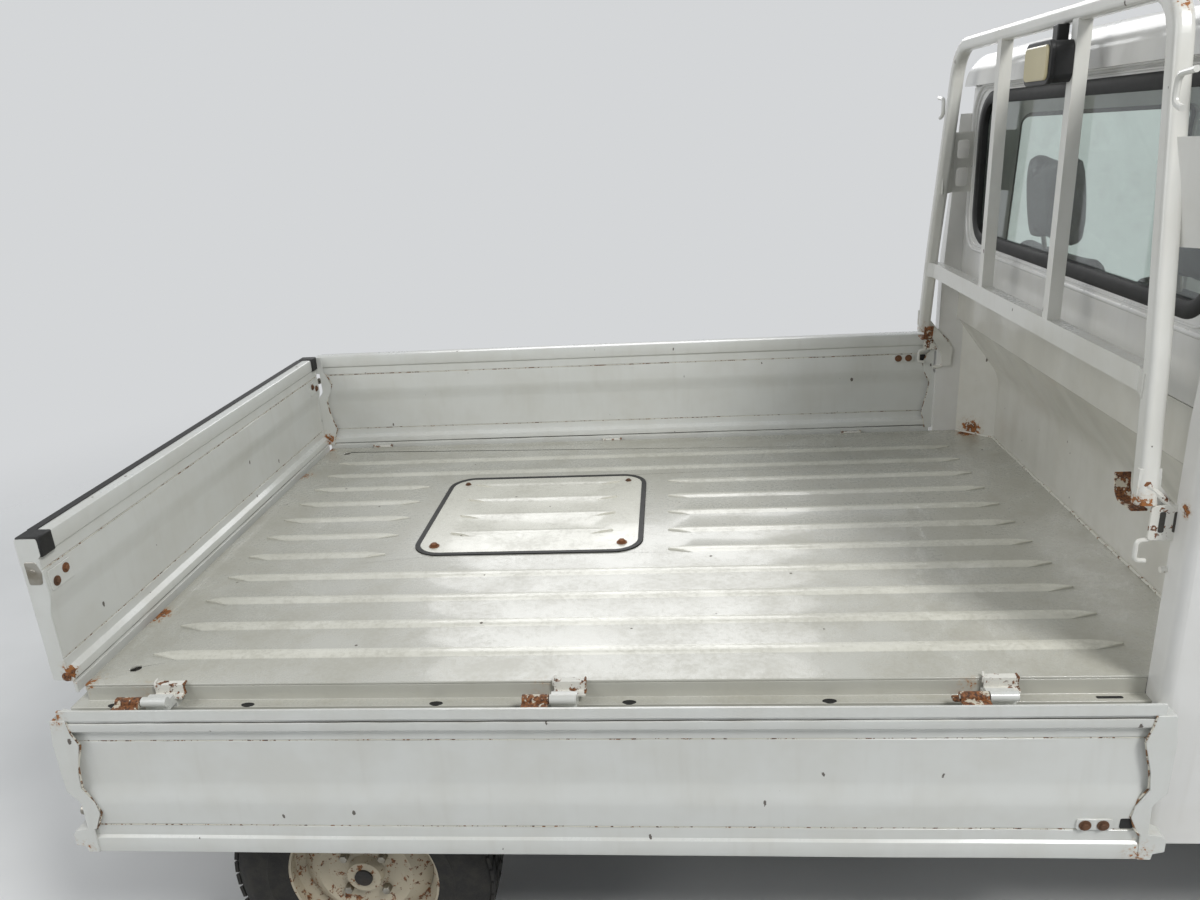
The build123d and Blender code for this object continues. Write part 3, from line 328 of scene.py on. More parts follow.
def bump(tree, shader, height, depth_mm):
    made = node(tree, "ShaderNodeBump", {"Height": height, "Distance": depth_mm * MM, "Strength": 1.0})
    feed(shader, "Normal", made.outputs[0])


def near(tree, spots):
    """1 at each spot and at its twin on the truck's other side, falling to 0 at its radius.
    Spots are (x, y, z, radius) in millimetres."""
    at = node(tree, "ShaderNodeSeparateXYZ", {0: place(tree)}).outputs
    folded = node(tree, "ShaderNodeCombineXYZ", {0: at[0], 1: maths(tree, "ABSOLUTE", at[1]), 2: at[2]})
    total = None
    for *centre, radius in spots:
        spot = tuple(c * MM for c in centre)
        away = node(tree, "ShaderNodeVectorMath", {0: folded.outputs[0], 1: spot}, operation="DISTANCE")
        here = ramp(tree, away.outputs["Value"], 0.0, radius * MM, 1.0, 0.0, soft=False)
        total = here if total is None else maths(tree, "MAXIMUM", total, here)
    return total


def marks(tree, ragged, spacing_mm, share, largest_mm, stretch=(1, 1, 1)):
    """1 inside scattered marks of random size, one in a share of the cells; stretch draws them out."""
    where = node(tree, "ShaderNodeMapping", {0: place(tree), "Scale": tuple(1 / s for s in stretch)})
    cells = node(tree, "ShaderNodeTexVoronoi", {"Vector": where.outputs[0], "Scale": 1 / (spacing_mm * MM)})
    lot = node(tree, "ShaderNodeSeparateColor", {0: cells.outputs["Color"]}).outputs[0]
    most = largest_mm / spacing_mm
    reach = ramp(tree, lot, 1 - share, 1.0, 0.0, most, soft=False)
    edge = ramp(tree, ragged, 0.2, 0.8, -0.5 * most, 0.5 * most, soft=False)
    inside = maths(tree, "SUBTRACT", reach, maths(tree, "ADD", cells.outputs["Distance"], edge))
    return ramp(tree, inside, 0.0, 0.3 / spacing_mm)


CHIP_SPACING = 34
CHIP_MOST = 4.2
CHIP_SHARE = 0.14


def enamel(name, paint, dust, dust_amount, rust_spots, wear=1.0, roughness=0.27, dents_mm=0.5, clean_lit_bead_tops=None,
           dent_stretch=(1, 1, 1)):
    """Baked alkyd enamel on pressed steel: still glossy white, dusty on what faces up, with small brown
    chips and scratches, and rust broken through where two sheets meet and water stands."""
    material, tree, shader = surface(name, Coat_Weight=0.3, Coat_Roughness=0.08, IOR=1.5)
    broad = grain(tree, 130, 3, 0.6)
    fine = grain(tree, 9, 3, 0.7)
    uneven = maths(tree, "ADD", broad, fine)
    colour = blend(tree, ramp(tree, broad, 0.35, 0.7, 0.0, 0.2), paint, dust)
    if clean_lit_bead_tops:
        # The tops of the floor's beads are painted lighter: less dust on them, and a painted highlight where
        # they catch the light
        height = node(tree, "ShaderNodeSeparateXYZ", {0: place(tree)}).outputs["Z"]
        clean_lit_tops = ramp(tree, height, (FLOOR_Z + 0.3) * MM, (FLOOR_Z + 1.6) * MM, 0.0, 0.9)
        colour = blend(tree, clean_lit_tops, colour, clean_lit_bead_tops)
    facing = node(tree, "ShaderNodeSeparateXYZ", {0: node(tree, "ShaderNodeNewGeometry").outputs["Normal"]})
    up = ramp(tree, facing.outputs["Z"], 0.5, 0.95)
    settled = maths(tree, "MULTIPLY", up, ramp(tree, uneven, 0.8, 1.3, 0.0, dust_amount))
    colour = blend(tree, settled, colour, dust)
    # Faint streaks that rain has drawn down the upright faces
    streaks = ramp(tree, grain(tree, 26, 2, 0.6, stretch=(1, 1, 9)), 0.5, 0.85, 0.0, 0.09)
    colour = blend(tree, maths(tree, "MULTIPLY", streaks, ramp(tree, up, 0, 1, 1, 0)), colour, "#a79f8e")
    # Chips of a few millimetres down to dark rust
    rusty = marks(tree, fine, CHIP_SPACING, CHIP_SHARE * wear, CHIP_MOST, stretch=(1, 1, 1.8))
    colour = blend(tree, maths(tree, "MULTIPLY", rusty, 0.85), colour, "#3a2a1e")
    spots = maths(tree, "ADD", near(tree, rust_spots), ramp(tree, uneven, 0.7, 1.3, -0.4, 0.4))
    colour = blend(tree, ramp(tree, spots, 0.35, 0.9, 0.0, 0.45), colour, "#b59a74")
    eaten = ramp(tree, spots, 0.70, 0.78)
    colour = blend(tree, eaten, colour, blend(tree, ramp(tree, fine, 0.4, 0.6), "#4a2a1a", "#98602f"))
    rusty = maths(tree, "MAXIMUM", rusty, eaten)
    feed(shader, "Base Color", colour)
    dull = maths(tree, "ADD", maths(tree, "MULTIPLY", rusty, 0.5), maths(tree, "MULTIPLY", settled, 0.35))
    feed(shader, "Roughness", maths(tree, "ADD", dull, roughness))
    feed(shader, "Coat Weight", ramp(tree, rusty, 0, 1, 0.3, 0.0))
    bump(tree, shader, grain(tree, 150, 1, 0.4, dent_stretch), dents_mm)
    return material


def worn_steel(name, paint, rust_share):
    """Hinge or bracket steel whose paint has flaked off in patches down to brown rust."""
    material, tree, shader = surface(name, Roughness=0.7)
    patches = grain(tree, 16, 4, 0.7)
    gone = ramp(tree, patches, 0.58 - 0.2 * rust_share, 0.63 - 0.2 * rust_share)
    rust = blend(tree, ramp(tree, grain(tree, 5, 3, 0.7), 0.35, 0.65), "#3f2618", "#8d5930")
    feed(shader, "Base Color", blend(tree, gone, paint, rust))
    bump(tree, shader, patches, 1.5)
    return material


def rusted_seam(name, paint, share):
    """Folded seam where the enamel has broken in short runs and shows dark rust."""
    material, tree, shader = surface(name, Roughness=0.55)
    broken = ramp(tree, grain(tree, 14, 3, 0.75), 0.62 - 0.2 * share, 0.68 - 0.2 * share)
    rust = blend(tree, ramp(tree, grain(tree, 6, 2), 0.35, 0.65), "#45301f", "#8a6038")
    feed(shader, "Base Color", blend(tree, broken, paint, rust))
    return material


def plain(name, first, second, size_mm, roughness, depth_mm=0.2, **sockets):
    """Moulded or cast surface with soft colour variation and a fine grain."""
    material, tree, shader = surface(name, **sockets)
    feed(shader, "Base Color", blend(tree, ramp(tree, grain(tree, size_mm * 12, 2), 0.3, 0.7), first, second))
    fine = grain(tree, size_mm, 2, 0.65)
    uneven = ramp(tree, fine, 0.2, 0.8, max(0.02, roughness - 0.08), roughness + 0.08)
    feed(shader, "Roughness", uneven)
    bump(tree, shader, fine, depth_mm)
    return material


def glass(name, tint):
    """Float glass with a thin film of dust, which greys it and blurs what it mirrors."""
    material, tree, shader = surface(name, Transmission_Weight=1.0, IOR=1.45)
    film = ramp(tree, grain(tree, 120, 3, 0.7), 0.45, 0.85, 0.0, 0.35)
    feed(shader, "Base Color", blend(tree, film, tint, "#c9cbc6"))
    feed(shader, "Roughness", ramp(tree, film, 0, 1, 0.0, 0.1))
    return material


# Where rust has broken through, x, y, z and radius in millimetres
HINGE_X = (BED_X0 + 150, BED_X0 + 902, BED_X0 + 1654)
HINGE_RUST = [(x - 20, FLOOR_HIGH.y + 30, FLOOR_Z - 12, 55) for x in HINGE_X]

# White enamel, one for each group of panels that has aged in its own way
body_enamel = enamel("white_enamel_cab", "#dfdeda", "#c6c2b6", 0.25, [
    (PLANE_X - 45, 705, FLOOR_Z + 320, 22)], wear=0.6)
# The floor is greyer with dust, dull between its beads, whose tops are painted lighter as highlight
bed_enamel = enamel("white_enamel_bed", "#bdbcb2", "#a3a091", 0.5, HINGE_RUST + [
    (BED_X0 + 14, 672, FLOOR_Z, 50), (PLANE_X + 40, 645, FLOOR_Z, 60), (BED_X0 + 12, 420, FLOOR_Z, 55)],
    wear=0.8, roughness=0.24, dents_mm=2.0, clean_lit_bead_tops="#dedccf")
# The gates have the most chips, from ropes and loads
gate_enamel = enamel("white_enamel_gates", "#d3d4cf", "#b9b5a7", 0.3, [
    (PLANE_X - 62, INNER_Y + 60, 396, 50), (BED_X0 + 4, INNER_Y, FLOOR_Z + 30, 40),
    (BED_X0 - 4, INNER_Y + 60, FLOOR_Z - 12, 42), (BED_X0 - 14, INNER_Y + 60, FLOOR_Z - 305, 36)],
    wear=2.6, dents_mm=1.4)
# The front wall is pushed in by long loads: broad upright dents
wall_enamel = enamel("white_enamel_front_wall", "#d6d4cb", "#b0a995", 0.4, [
    (PLANE_X + 60, 640, FLOOR_Z + 20, 60), (PLANE_X, 660, FLOOR_Z + 330, 40)],
    wear=1.2, dents_mm=16.0, dent_stretch=(1, 0.8, 2.6))
frame_enamel = enamel("white_enamel_guard_frame", "#dad9d2", "#bdb8a9", 0.3, [
    (PLANE_X - 98, 672, FLOOR_Z + 310, 60), (PLANE_X - 84, 560, FLOOR_Z + 1082, 50)], wear=2.0)

# Painted steel that has flaked: cream on the wheels, grey on their caps, white on the hinges
wheel_enamel = worn_steel("cream_enamel_wheels", "#aea48f", 0.12)
hub_paint = worn_steel("grey_hub_cap_paint", "#8f8b83", 0.1)
flaking_rust = worn_steel("flaking_rust", "#c9c2b0", 0.85)
worn_paint = worn_steel("hinge_paint_rusted_through", "#dbd9d0", 0.15)
# Folds and welds, where the paint has cracked along the line, and a dark colour painted as the shade inside a
# fold or slot
seam_rust = rusted_seam("rusted_folded_seam", "#cfccc0", 0.45)
weld_rust = rusted_seam("rusted_weld", "#cdc9bb", 0.7)
seam_light = rusted_seam("painted_seam_sealer", "#d6d4c9", 0.15)
painted_shade = plain("dark_inner_shadow_paint", "#3c3a35", "#4a4740", 4, 0.8)

# Brushed chassis paint: near black, brown with road dirt
chassis_black = plain("black_chassis_paint", "#14130f", "#2b2119", 5, 0.6, 0.4)
# Rubber: black without gloss, the tyres greyed by dust
tyre_rubber = plain("vulcanised_tyre_rubber", "#171615", "#26241f", 2, 0.8, 0.3)
moulded_rubber = plain("black_epdm_rubber", "#0e0e0e", "#1b1b1a", 2, 0.6)
# Moulded ABS and vinyl: even colours, a fine leather grain, a weak broad shine
black_plastic = plain("grained_black_abs", "#131313", "#1c1c1c", 1.5, 0.5, 0.15)
grey_plastic = plain("grained_grey_abs", "#55565a", "#606166", 1.5, 0.6, 0.15)
seat_vinyl = plain("grained_grey_seat_vinyl", "#35363a", "#424348", 2.5, 0.5, 0.3)
door_trim = plain("grained_grey_door_board", "#6b6c6e", "#757678", 2.5, 0.6, 0.3)
# Woven belt: dull black, its ribs a millimetre apart
webbing = plain("black_belt_webbing", "#101010", "#1a1a1a", 1.2, 0.7)
# Bare metals: rough grey iron, brown steel, zinc gone matt, chrome that mirrors
cast_iron = plain("sand_cast_iron", "#3b3733", "#4d3a2c", 4, 0.7, 0.6, Metallic=0.6)
rusty_steel = plain("rusty_mild_steel", "#5a4434", "#8a5a38", 6, 0.75, 0.5, Metallic=0.3)
zinc = plain("zinc_plated_steel", "#a7a49c", "#857f72", 3, 0.38, 0.1, Metallic=1.0)
reflector = plain("chromed_reflector", "#c8c9c8", "#d4d4d2", 30, 0.12, 0.02, Metallic=1.0)
# Glass and lenses: clear panes under dust, saturated acrylic with a sharp shine
window_glass = glass("dusty_float_glass", "#e6eeea")
lamp_lens = glass("clear_polycarbonate_lens", "#f0f2f2")
tail_lens = plain("red_acrylic_lens", "#8c0f0a", "#a3130d", 20, 0.15, 0.05)
amber_lens = plain("amber_acrylic_lens", "#c96a10", "#d97a1c", 20, 0.15, 0.05)
clear_lens = plain("ribbed_white_acrylic_lens", "#d5d8d8", "#e2e4e2", 20, 0.15, 0.05)
work_lens = plain("work_lamp_lens", "#b8ab80", "#cfc49c", 30, 0.16, 0.1)
# Enamelled plate with nothing on it
plate_white = plain("blank_number_plate", "#e0e0da", "#d6d6cf", 20, 0.4, 0.05)

NODE_MATERIALS = {
    bed_enamel: ("bed_floor", "engine_hatch", "bed_edge_rails"),
    wall_enamel: ("bed_front_wall",),
    gate_enamel: ("gate_left", "gate_right", "tailgate", "gate_hinges"),
    body_enamel: ("cab_side_left", "cab_side_right", "roof_panel", "cab_rear_panel", "front_panel",
                  "door_left", "door_right", "door_hinges", "cab_floor"),
    frame_enamel: ("guard_frame",),
    chassis_black: ("chassis_frame", "bed_crossmembers", "front_suspension", "rear_axle", "fuel_tank"),
    wheel_enamel: ("rim_front_left", "rim_front_right", "rim_rear_left", "rim_rear_right"),
    tyre_rubber: ("tyre_front_left", "tyre_front_right", "tyre_rear_left", "tyre_rear_right"),
    moulded_rubber: ("hatch_seal",),
    black_plastic: ("front_bumper", "side_mirrors", "wipers", "steering_wheel", "work_lamp"),
    grey_plastic: ("dashboard",),
    seat_vinyl: ("seats",),
    cast_iron: ("knuckle_left", "knuckle_right", "engine_block"),
    rusty_steel: ("leaf_springs", "exhaust"),
    window_glass: ("windshield", "rear_window", "quarter_glass", "door_glass_left", "door_glass_right"),
    lamp_lens: ("headlamps",),
    tail_lens: ("rear_lamps",),
}
for material, names in NODE_MATERIALS.items():
    for name in names:
        for slot in nodes[name].material_slots:
            slot.material = material

# Sheet metal edges are folded, so they catch the light on a small round, in millimetres
SOFT_EDGES = {
    4.0: ("cab_side_left", "cab_side_right", "front_panel", "door_left", "door_right", "roof_panel",
          "cab_rear_panel", "bed_front_wall", "front_bumper"),
    1.5: ("bed_floor", "engine_hatch", "bed_edge_rails"),
}
for width, names in SOFT_EDGES.items():
    for name in names:
        weld = nodes[name].modifiers.new("joined", "WELD")
        weld.merge_threshold = 0.00002
        round_edges(nodes[name], width, 25)
        nodes[name].modifiers.new("even_shading", "WEIGHTED_NORMAL")

# Cargo bed


def wander(path, amount, seed):
    """Path put a little out of line, as a hand-laid bead of sealer is."""
    return [Vector(p) + noise.noise_vector(Vector(p) * 0.02 + Vector((seed, 0, 0))) * amount for p in path]


def along(start, end, step=25):
    start, end = Vector(start), Vector(end)
    count = max(2, int((end - start).length / step))
    return [start.lerp(end, i / count) for i in range(count + 1)]


def through(places, step=8):
    """Straight runs between the places, cut into short steps."""
    path = []
    for a, b in zip(places, places[1:]):
        path += along(a, b, step)[:-1]
    return path + [Vector(places[-1])]


def dented(shape, amount, seed, wave=260):
    """Sheet metal pushed in and out a little by years of loads, sideways and lengthways but not in height."""
    def push(p):
        shift = noise.noise_vector(p / wave + Vector((seed, 0, 0))) * amount
        return Vector((p.x + shift.x * 0.6, p.y + shift.y, p.z))
    return moved(shape, push)


def sheet_along(outline, low, high, axis, step=60):
    """Outline drawn out in short bays, so that the sheet can be dented between them."""
    count = max(2, int((high - low) / step))
    ends = prism(outline, low, high, axis)[0]
    n = len(outline)
    points = []
    for i in range(count + 1):
        points += [tuple(Vector(a).lerp(Vector(b), i / count)) for a, b in zip(ends[:n], ends[n:])]
    return points, bands(count + 1, n)


def make_bed_details():
    sill = FLOOR_Z + 1
    ledge_z = FLOOR_Z - LEDGE_DROP
    plugs = []
    for bed_x in (72, 332, 688, 1041, 1394, 1681):
        outline = [(BED_X0 + bed_x + a * 1.8, FLOOR_HIGH.y + 17 + b * 0.9) for a, b in circle(7, 16)]
        plugs.append(prism(outline, ledge_z - 1, ledge_z + 0.8, "Z"))
    plugs.append(slab("Z", (BED_X0 + 1847, BED_X0 + 1892), (FLOOR_HIGH.y + 8, FLOOR_HIGH.y + 15),
                      (ledge_z - 1, ledge_z + 0.6), 3))
    piece("ledge_drain_plugs", both_sides(plugs), moulded_rubber, soft=0.4)
    corner_x, corner_y = FLOOR_HIGH.x - 85, FLOOR_HIGH.y - 89
    run = through([(corner_x, FLOOR_HIGH.y - 2, sill), (FLOOR_HIGH.x - 2, corner_y, sill),
                   (FLOOR_HIGH.x - 2, -corner_y, sill), (corner_x, 2 - FLOOR_HIGH.y, sill)], 14)
    piece("floor_seam_sealer", [tube(wander(run, 2.2, 3), 3.4, 8)], seam_light)
    low, high = corners("engine_hatch")
    bolts = []
    for x in (low.x + 38, high.x - 38):
        for y in (low.y + 38, high.y - 38):
            across = 15 if y < 0 else 10
            bolts.append(bolt((x, y, FLOOR_Z + 2), (0, 0, 1), across, 1.7))
    piece("hatch_bolts", bolts, rusty_steel, soft=0.4)


def make_side_hinges():
    """Fixed leaf in front of each barrel: over the floor's edge, down the gap and under the gate's lip."""
    leaves, ends, seats = [], [], []
    edge = FLOOR_HIGH.y
    ledge_z = FLOOR_Z - LEDGE_DROP
    top, low = FLOOR_Z + 4, FLOOR_Z - 14
    for x in HINGE_X:
        bent_leaf = [(edge - 5, top - 3.6), (edge - 5, top), (edge + 9, top), (edge + 9, low),
                     (edge + 24, low), (edge + 24, low - 3.5), (edge + 5, low - 3.5), (edge + 5, top - 3.6)]
        leaves.append(prism(bent_leaf, x + 4, x + 62, "X"))
        curl = [(3, 6, -6), (3, 5, 5), (5, -5, 8)]
        curl = [(x + ahead, edge + out, FLOOR_Z + height) for ahead, out, height in curl]
        leaves.append(tube(bent(curl, 8), 2.2, 8))
        rim = [(edge - 4, top), (edge + 7.5, top), (edge + 7.5, low), (edge + 22, low - 1.5)]
        ends.append(tube(wander(through([(x + 61, y, z) for y, z in rim], 5), 0.8, x), 2, 7))
        seats.append(slab("Z", (x - 49, x - 2), (edge + 4, edge + 22), (ledge_z, ledge_z + 1.6), 4))
    piece("hinge_leaves", both_sides(leaves), worn_paint, soft=0.5)
    piece("hinge_leaf_ends", both_sides(ends), flaking_rust)
    piece("hinge_seats", both_sides(seats), flaking_rust, soft=0.4)


# Gates, drawn shut on the left

GATE_LOW, GATE_HIGH = corners("gate_left")
PIVOT_Y = GATE_LOW.y + 36
GATE_FACE = (
    # height over the floor, how far the pressed face is set back
    (-12, 0), (8, 0), (9.5, 3), (14.5, 3), (16, 0), (29, 0), (32, 1), (40, 11), (43, 12), (57.5, 12),
    (58.5, 13.2), (60.5, 13.2), (61.5, 12), (148, 12), (158, 11), (176, 6.5), (188, 3.6), (198, 3),
    (241, 4.8), (242, 6.2), (244.5, 6.2), (245.5, 5), (267, 5), (271, 0.6), (273, 0), (300, 0),
    (303.5, 1), (305, 4),
)
GATE_BACK = (
    (305, 38), (303.5, 41), (300, 42), (252, 42), (246, 39), (66, 39), (60, 42), (17, 42), (14, 39), (14, 5),
    (-12, 5),
)
GATE_OUTLINE = [(back, FLOOR_Z + height) for height, back in GATE_FACE + GATE_BACK]
GATE_TOP = 305
PRESSED_SEAMS = (
    # height over the floor, how far set back, radius, finish, piece
    (243, 5.6, 1.1, seam_rust, "upper"),
    (59.5, 12.6, 0.9, seam_rust, "lower"),
    # The hem's line is painted dark, as shade in its groove
    (14, 2.4, 0.9, painted_shade, "hem"),
)


def seam_line(start, end, radius, seed):
    """Thin uneven line along a gate where two sheets are folded together."""
    return tube(wander(along(start, end, 14), 0.7, seed), radius, 6)


def hung(shape):
    """The same piece on the right gate, which hangs open."""
    return moved(shape, lambda p: (p.x, p.y - 2 * PIVOT_Y, 2 * PIVOT_Z - p.z))


def on_side_gates(name, shapes, material, replaced=False, **looks):
    for side, shown in (("left", shapes), ("right", [hung(shape) for shape in shapes])):
        body = "gate_" + side
        piece(name + "_" + side, shown, material, body, stands_for=(body,) if replaced else (), **looks)


# Plate that closes a gate's end, seen square to the gate: distance from the tailgate's face, height
END_PLATE = (
    (-9, 8), (-10, 14), (-16, 60), (-16, 123), (-15, 162), (4, 186), (6, 192), (5, 249), (-20, 253),
    (-27, 262), (-27, 286), (-8, 291), (-6, 303), (16, 303), (18, 249), (22, 249), (37, 214), (33, 190),
    (14, 156), (18, 120), (33, 61), (27, 38), (22, 17), (20, 8),
)
END_SEAM = ((22, 10), (26, 34), (34, 61), (20, 110), (15, 156), (26, 180), (38, 214), (31, 236), (22, 250))


def both_ends(draw):
    """Shapes at a side gate's rear end and, the other way round, at its front end."""
    middle = GATE_LOW.x + GATE_HIGH.x
    shapes = draw(lambda bed_x: BED_X0 + bed_x)
    return shapes + draw(lambda bed_x: middle - BED_X0 - bed_x)


def make_side_gates():
    skin = [(INNER_Y + back, z) for back, z in GATE_OUTLINE]
    sheet = dented(sheet_along(skin, GATE_LOW.x + 0.5, GATE_HIGH.x - 0.5, "X"), 1.4, 4)
    on_side_gates("pressed_skin", [sheet], gate_enamel, replaced=True, sharp=28)

    def plates(at):
        face = [(at(bed_x), FLOOR_Z + h) for bed_x, h in END_PLATE]
        edge = [(at(bed_x), FLOOR_Z + h) for bed_x, h in END_PLATE[:14]]
        edge = edge[:-1] + [(at(9), FLOOR_Z + 303), (at(9), FLOOR_Z + 14)]
        return [prism(face, INNER_Y - 1.6, INNER_Y + 1.2, "Y"), prism(edge, INNER_Y + 1, INNER_Y + 41, "Y")]
    on_side_gates("end_plates", both_ends(plates), gate_enamel, soft=0.8)

    def seams(at):
        # Over the set-back panel the weld lies deeper
        set_back = [INNER_Y - 0.4 + (3 if 50 < h < 230 else 0) for _, h in END_SEAM]
        line = through([(at(bed_x), y, FLOOR_Z + h) for (bed_x, h), y in zip(END_SEAM, set_back)], 6)
        return [tube(wander(line, 2.6, 5), 1.7, 7)]
    on_side_gates("end_welds", both_ends(seams), weld_rust)
    for height, back, radius, material, name in PRESSED_SEAMS:
        start = (GATE_LOW.x + 14, INNER_Y + back, FLOOR_Z + height)
        end = (GATE_HIGH.x - 14, INNER_Y + back, FLOOR_Z + height)
        on_side_gates(name + "_seam", [seam_line(start, end, radius, height)], material)
    barrels = []
    for x in HINGE_X:
        barrels.append(rod((x - 48, PIVOT_Y, PIVOT_Z), (x - 1, PIVOT_Y, PIVOT_Z), 9))
        barrels.append(box(x - 48, x - 1, INNER_Y + 1, PIVOT_Y, PIVOT_Z, PIVOT_Z + 6))
        for k in range(3):
            barrels.append(bolt((x - 40 + 15 * k, INNER_Y + 14, PIVOT_Z + 6), (0, 0, 1), 5, 1.3))
    on_side_gates("hinge_barrels", barrels, flaking_rust, soft=0.6)
    x = GATE_HIGH.x
    latch = slab("Y", (x - 118, x - 58), (FLOOR_Z + 219, FLOOR_Z + 241), (INNER_Y + 0.5, INNER_Y + 5.2), 4)
    on_side_gates("latch_plates", [latch], gate_enamel, soft=0.6)
    bolts = [bolt((x - back, INNER_Y + 0.5, FLOOR_Z + 231), (0, -1, 0), 11) for back in (104, 74)]
    on_side_gates("latch_bolts", bolts, rusty_steel, soft=0.4)
    # The latch hole is a thin black plate, painted shade for the dark inside of the hole
    hole = slab("Y", (x - 45, x - 23), (FLOOR_Z + 219, FLOOR_Z + 240), (INNER_Y + 3.4, INNER_Y + 4.4), 3)
    on_side_gates("latch_holes_painted_shade", [hole], moulded_rubber)
    stops = [box(x - 2, x + 17, INNER_Y + 4, INNER_Y + 38, FLOOR_Z + 270, FLOOR_Z + 306)]
    on_side_gates("rubber_stops", stops, moulded_rubber, soft=2.5)
    stud = lathe([(0, 0), (6, 0), (6, 12), (10, 12), (10, 17), (0, 17)],
                 (BED_X0 + 6, INNER_Y + 21, FLOOR_Z + 221), (-1, 0, 0), 14)
    on_side_gates("latch_studs", [stud], zinc, soft=0.5)


TAIL_HINGE_Y = (-430, 0, 430)


def make_tailgate():
    low, high = corners("tailgate")
    half = high.y
    skin = [(BED_X0 - back, z) for back, z in GATE_OUTLINE]
    sheet = dented(sheet_along(skin, low.y + 0.5, high.y - 0.5, "Y"), 1.6, 9)
    piece("tailgate_skin", [sheet], gate_enamel, "tailgate", stands_for=("tailgate",), sharp=28)
    barrels = []
    for y in TAIL_HINGE_Y:
        barrels.append(rod((BED_X0 - 36, y - 48, PIVOT_Z), (BED_X0 - 36, y - 1, PIVOT_Z), 9))
        barrels.append(box(BED_X0 - 36, BED_X0 - 1, y - 48, y - 1, PIVOT_Z, PIVOT_Z + 6))
    piece("tailgate_barrels", barrels, flaking_rust, "tailgate", soft=0.6)
    top = FLOOR_Z + GATE_TOP
    trim = prism([(BED_X0 - 26, top - 0.6), (BED_X0 - 26, top + 1.6), (BED_X0 - 43.6, top + 1.6),
                  (BED_X0 - 43.6, top - 8), (BED_X0 - 41.5, top - 8), (BED_X0 - 41.5, top - 0.6)],
                 low.y + 40, high.y - 40, "Y")
    piece("tailgate_top_trim", [trim], moulded_rubber, "tailgate", soft=0.5)
    plug = box(BED_X0 - 41, BED_X0 + 4, half - 40, half - 1, FLOOR_Z + 268, top + 3)
    piece("tailgate_end_plugs", both_sides([plug]), moulded_rubber, "tailgate", soft=3)
    strip = [(BED_X0 + 1.2 - back, FLOOR_Z + h) for h, back in GATE_FACE if h < 268]
    strip += [(BED_X0 - 41.5, FLOOR_Z + 266), (BED_X0 - 41.5, FLOOR_Z + 15), (BED_X0 - 4, FLOOR_Z + 12),
              (BED_X0 - 4, FLOOR_Z - 12)]
    ends = both_sides([prism(strip, half - 3.5, half - 0.2, "Y")])
    piece("tailgate_end_plates", ends, gate_enamel, "tailgate", soft=0.7)
    plate = slab("X", (half - 74, half - 10), (FLOOR_Z + 196, FLOOR_Z + 236), (BED_X0 - 4.5, BED_X0 - 1.2), 4)
    bolts = [bolt((BED_X0 - 1.4, half - inwards, FLOOR_Z + height), (1, 0, 0), 10)
             for inwards, height in ((56, 222), (26, 210))]
    piece("tailgate_latch_plates", both_sides([plate]), gate_enamel, "tailgate", soft=0.6)
    piece("tailgate_bolts", both_sides(bolts), rusty_steel, "tailgate")
    tongue = [(34, 215, 4), (9, 215, 6), (5, 238, 6), (12, 260, 6), (34, 260, 4)]
    tongue = rounded([(BED_X0 - back, FLOOR_Z + height, radius) for back, height, radius in tongue])
    pivot_x, pivot_z = BED_X0 - 22, FLOOR_Z + 240
    latch = [prism(tongue, half - 2, half + 1.2, "Y"),
             rod((pivot_x, half - 1, pivot_z), (pivot_x, half + 1.8, pivot_z), 6, 14)]
    piece("tailgate_latches", both_sides(latch), zinc, "tailgate", soft=0.7)
    plug = lathe([(0, 0), (9, 0), (9, 1.6), (6.4, 1.6), (6.4, 2.6), (3.6, 2.6), (3.6, 1.4), (0, 1.4)],
                 (BED_X0 - 14, half - 0.4, FLOOR_Z + 22), (0, 1, 0), 20)
    piece("tailgate_foot_plugs", both_sides([plug]), flaking_rust, "tailgate", soft=0.3)
    for height, back, radius, material, name in PRESSED_SEAMS:
        start = (BED_X0 - back, low.y + 8, FLOOR_Z + height)
        end = (BED_X0 - back, high.y - 8, FLOOR_Z + height)
        piece("tailgate_" + name + "_seam", [seam_line(start, end, radius, height)], material, "tailgate")


# Guard frame


def make_guard_details():
    """Rope hooks on the tubes, the latch receivers and the rusty tabs at the frame's feet."""
    x = PLANE_X - 101
    rope_hook = [(646, 970), (600, 966), (598, 925), (622, 918)]
    hooks = [tube(bent([(x, y, FLOOR_Z + height) for y, height in rope_hook], 14), 5, 10)]
    low_hook = [(14, 680, 258), (-4, 681, 256), (-4, 681, 222), (14, 680, 220)]
    hooks.append(tube(bent([(x + ahead, y, FLOOR_Z + height) for ahead, y, height in low_hook], 8), 4, 10))
    piece("rope_hooks", both_sides(hooks), frame_enamel)
    tab = [(668, 305), (618, 303), (604, 318), (600, 346)]
    strip = [(-2, -13), (2, -13), (2, 13), (-2, 13)]
    curl = sweep(bent([(x, y, FLOOR_Z + height) for y, height in tab], 16), strip, up=(1, 0, 0))
    piece("frame_foot_tabs", both_sides([curl]), flaking_rust, soft=0.8)
    receiver = rounded([(x + ahead, FLOOR_Z + height, 6)
                        for ahead, height in ((10, 258), (71, 256), (71, 322), (10, 318))])
    piece("latch_receivers", both_sides([prism(receiver, 681, 685, "Y")]), worn_paint, soft=1)
    # The receiver's slots are thin plates painted dark, as the shade inside them
    slots = [slab("Y", (slot_x, slot_x + 9), (FLOOR_Z + 272, FLOOR_Z + 308), (684.6, 685.6), 3)
             for slot_x in (x + 24, x + 46)]
    piece("receiver_slots", both_sides(slots), painted_shade)
    lever = [(0, 354), (60, 300), (90, 270), (66, 204), (40, 203)]
    lever = tube(bent([(x + ahead, 680, FLOOR_Z + height) for ahead, height in lever], 16), 5.5, 10)
    piece("latch_levers", both_sides([lever]), worn_paint)
    piece("frame_bolts", both_sides([bolt((x, 677, FLOOR_Z + 354), (0, 1, 0), 12)]), rusty_steel, soft=0.4)


# Work lamp on the guard frame


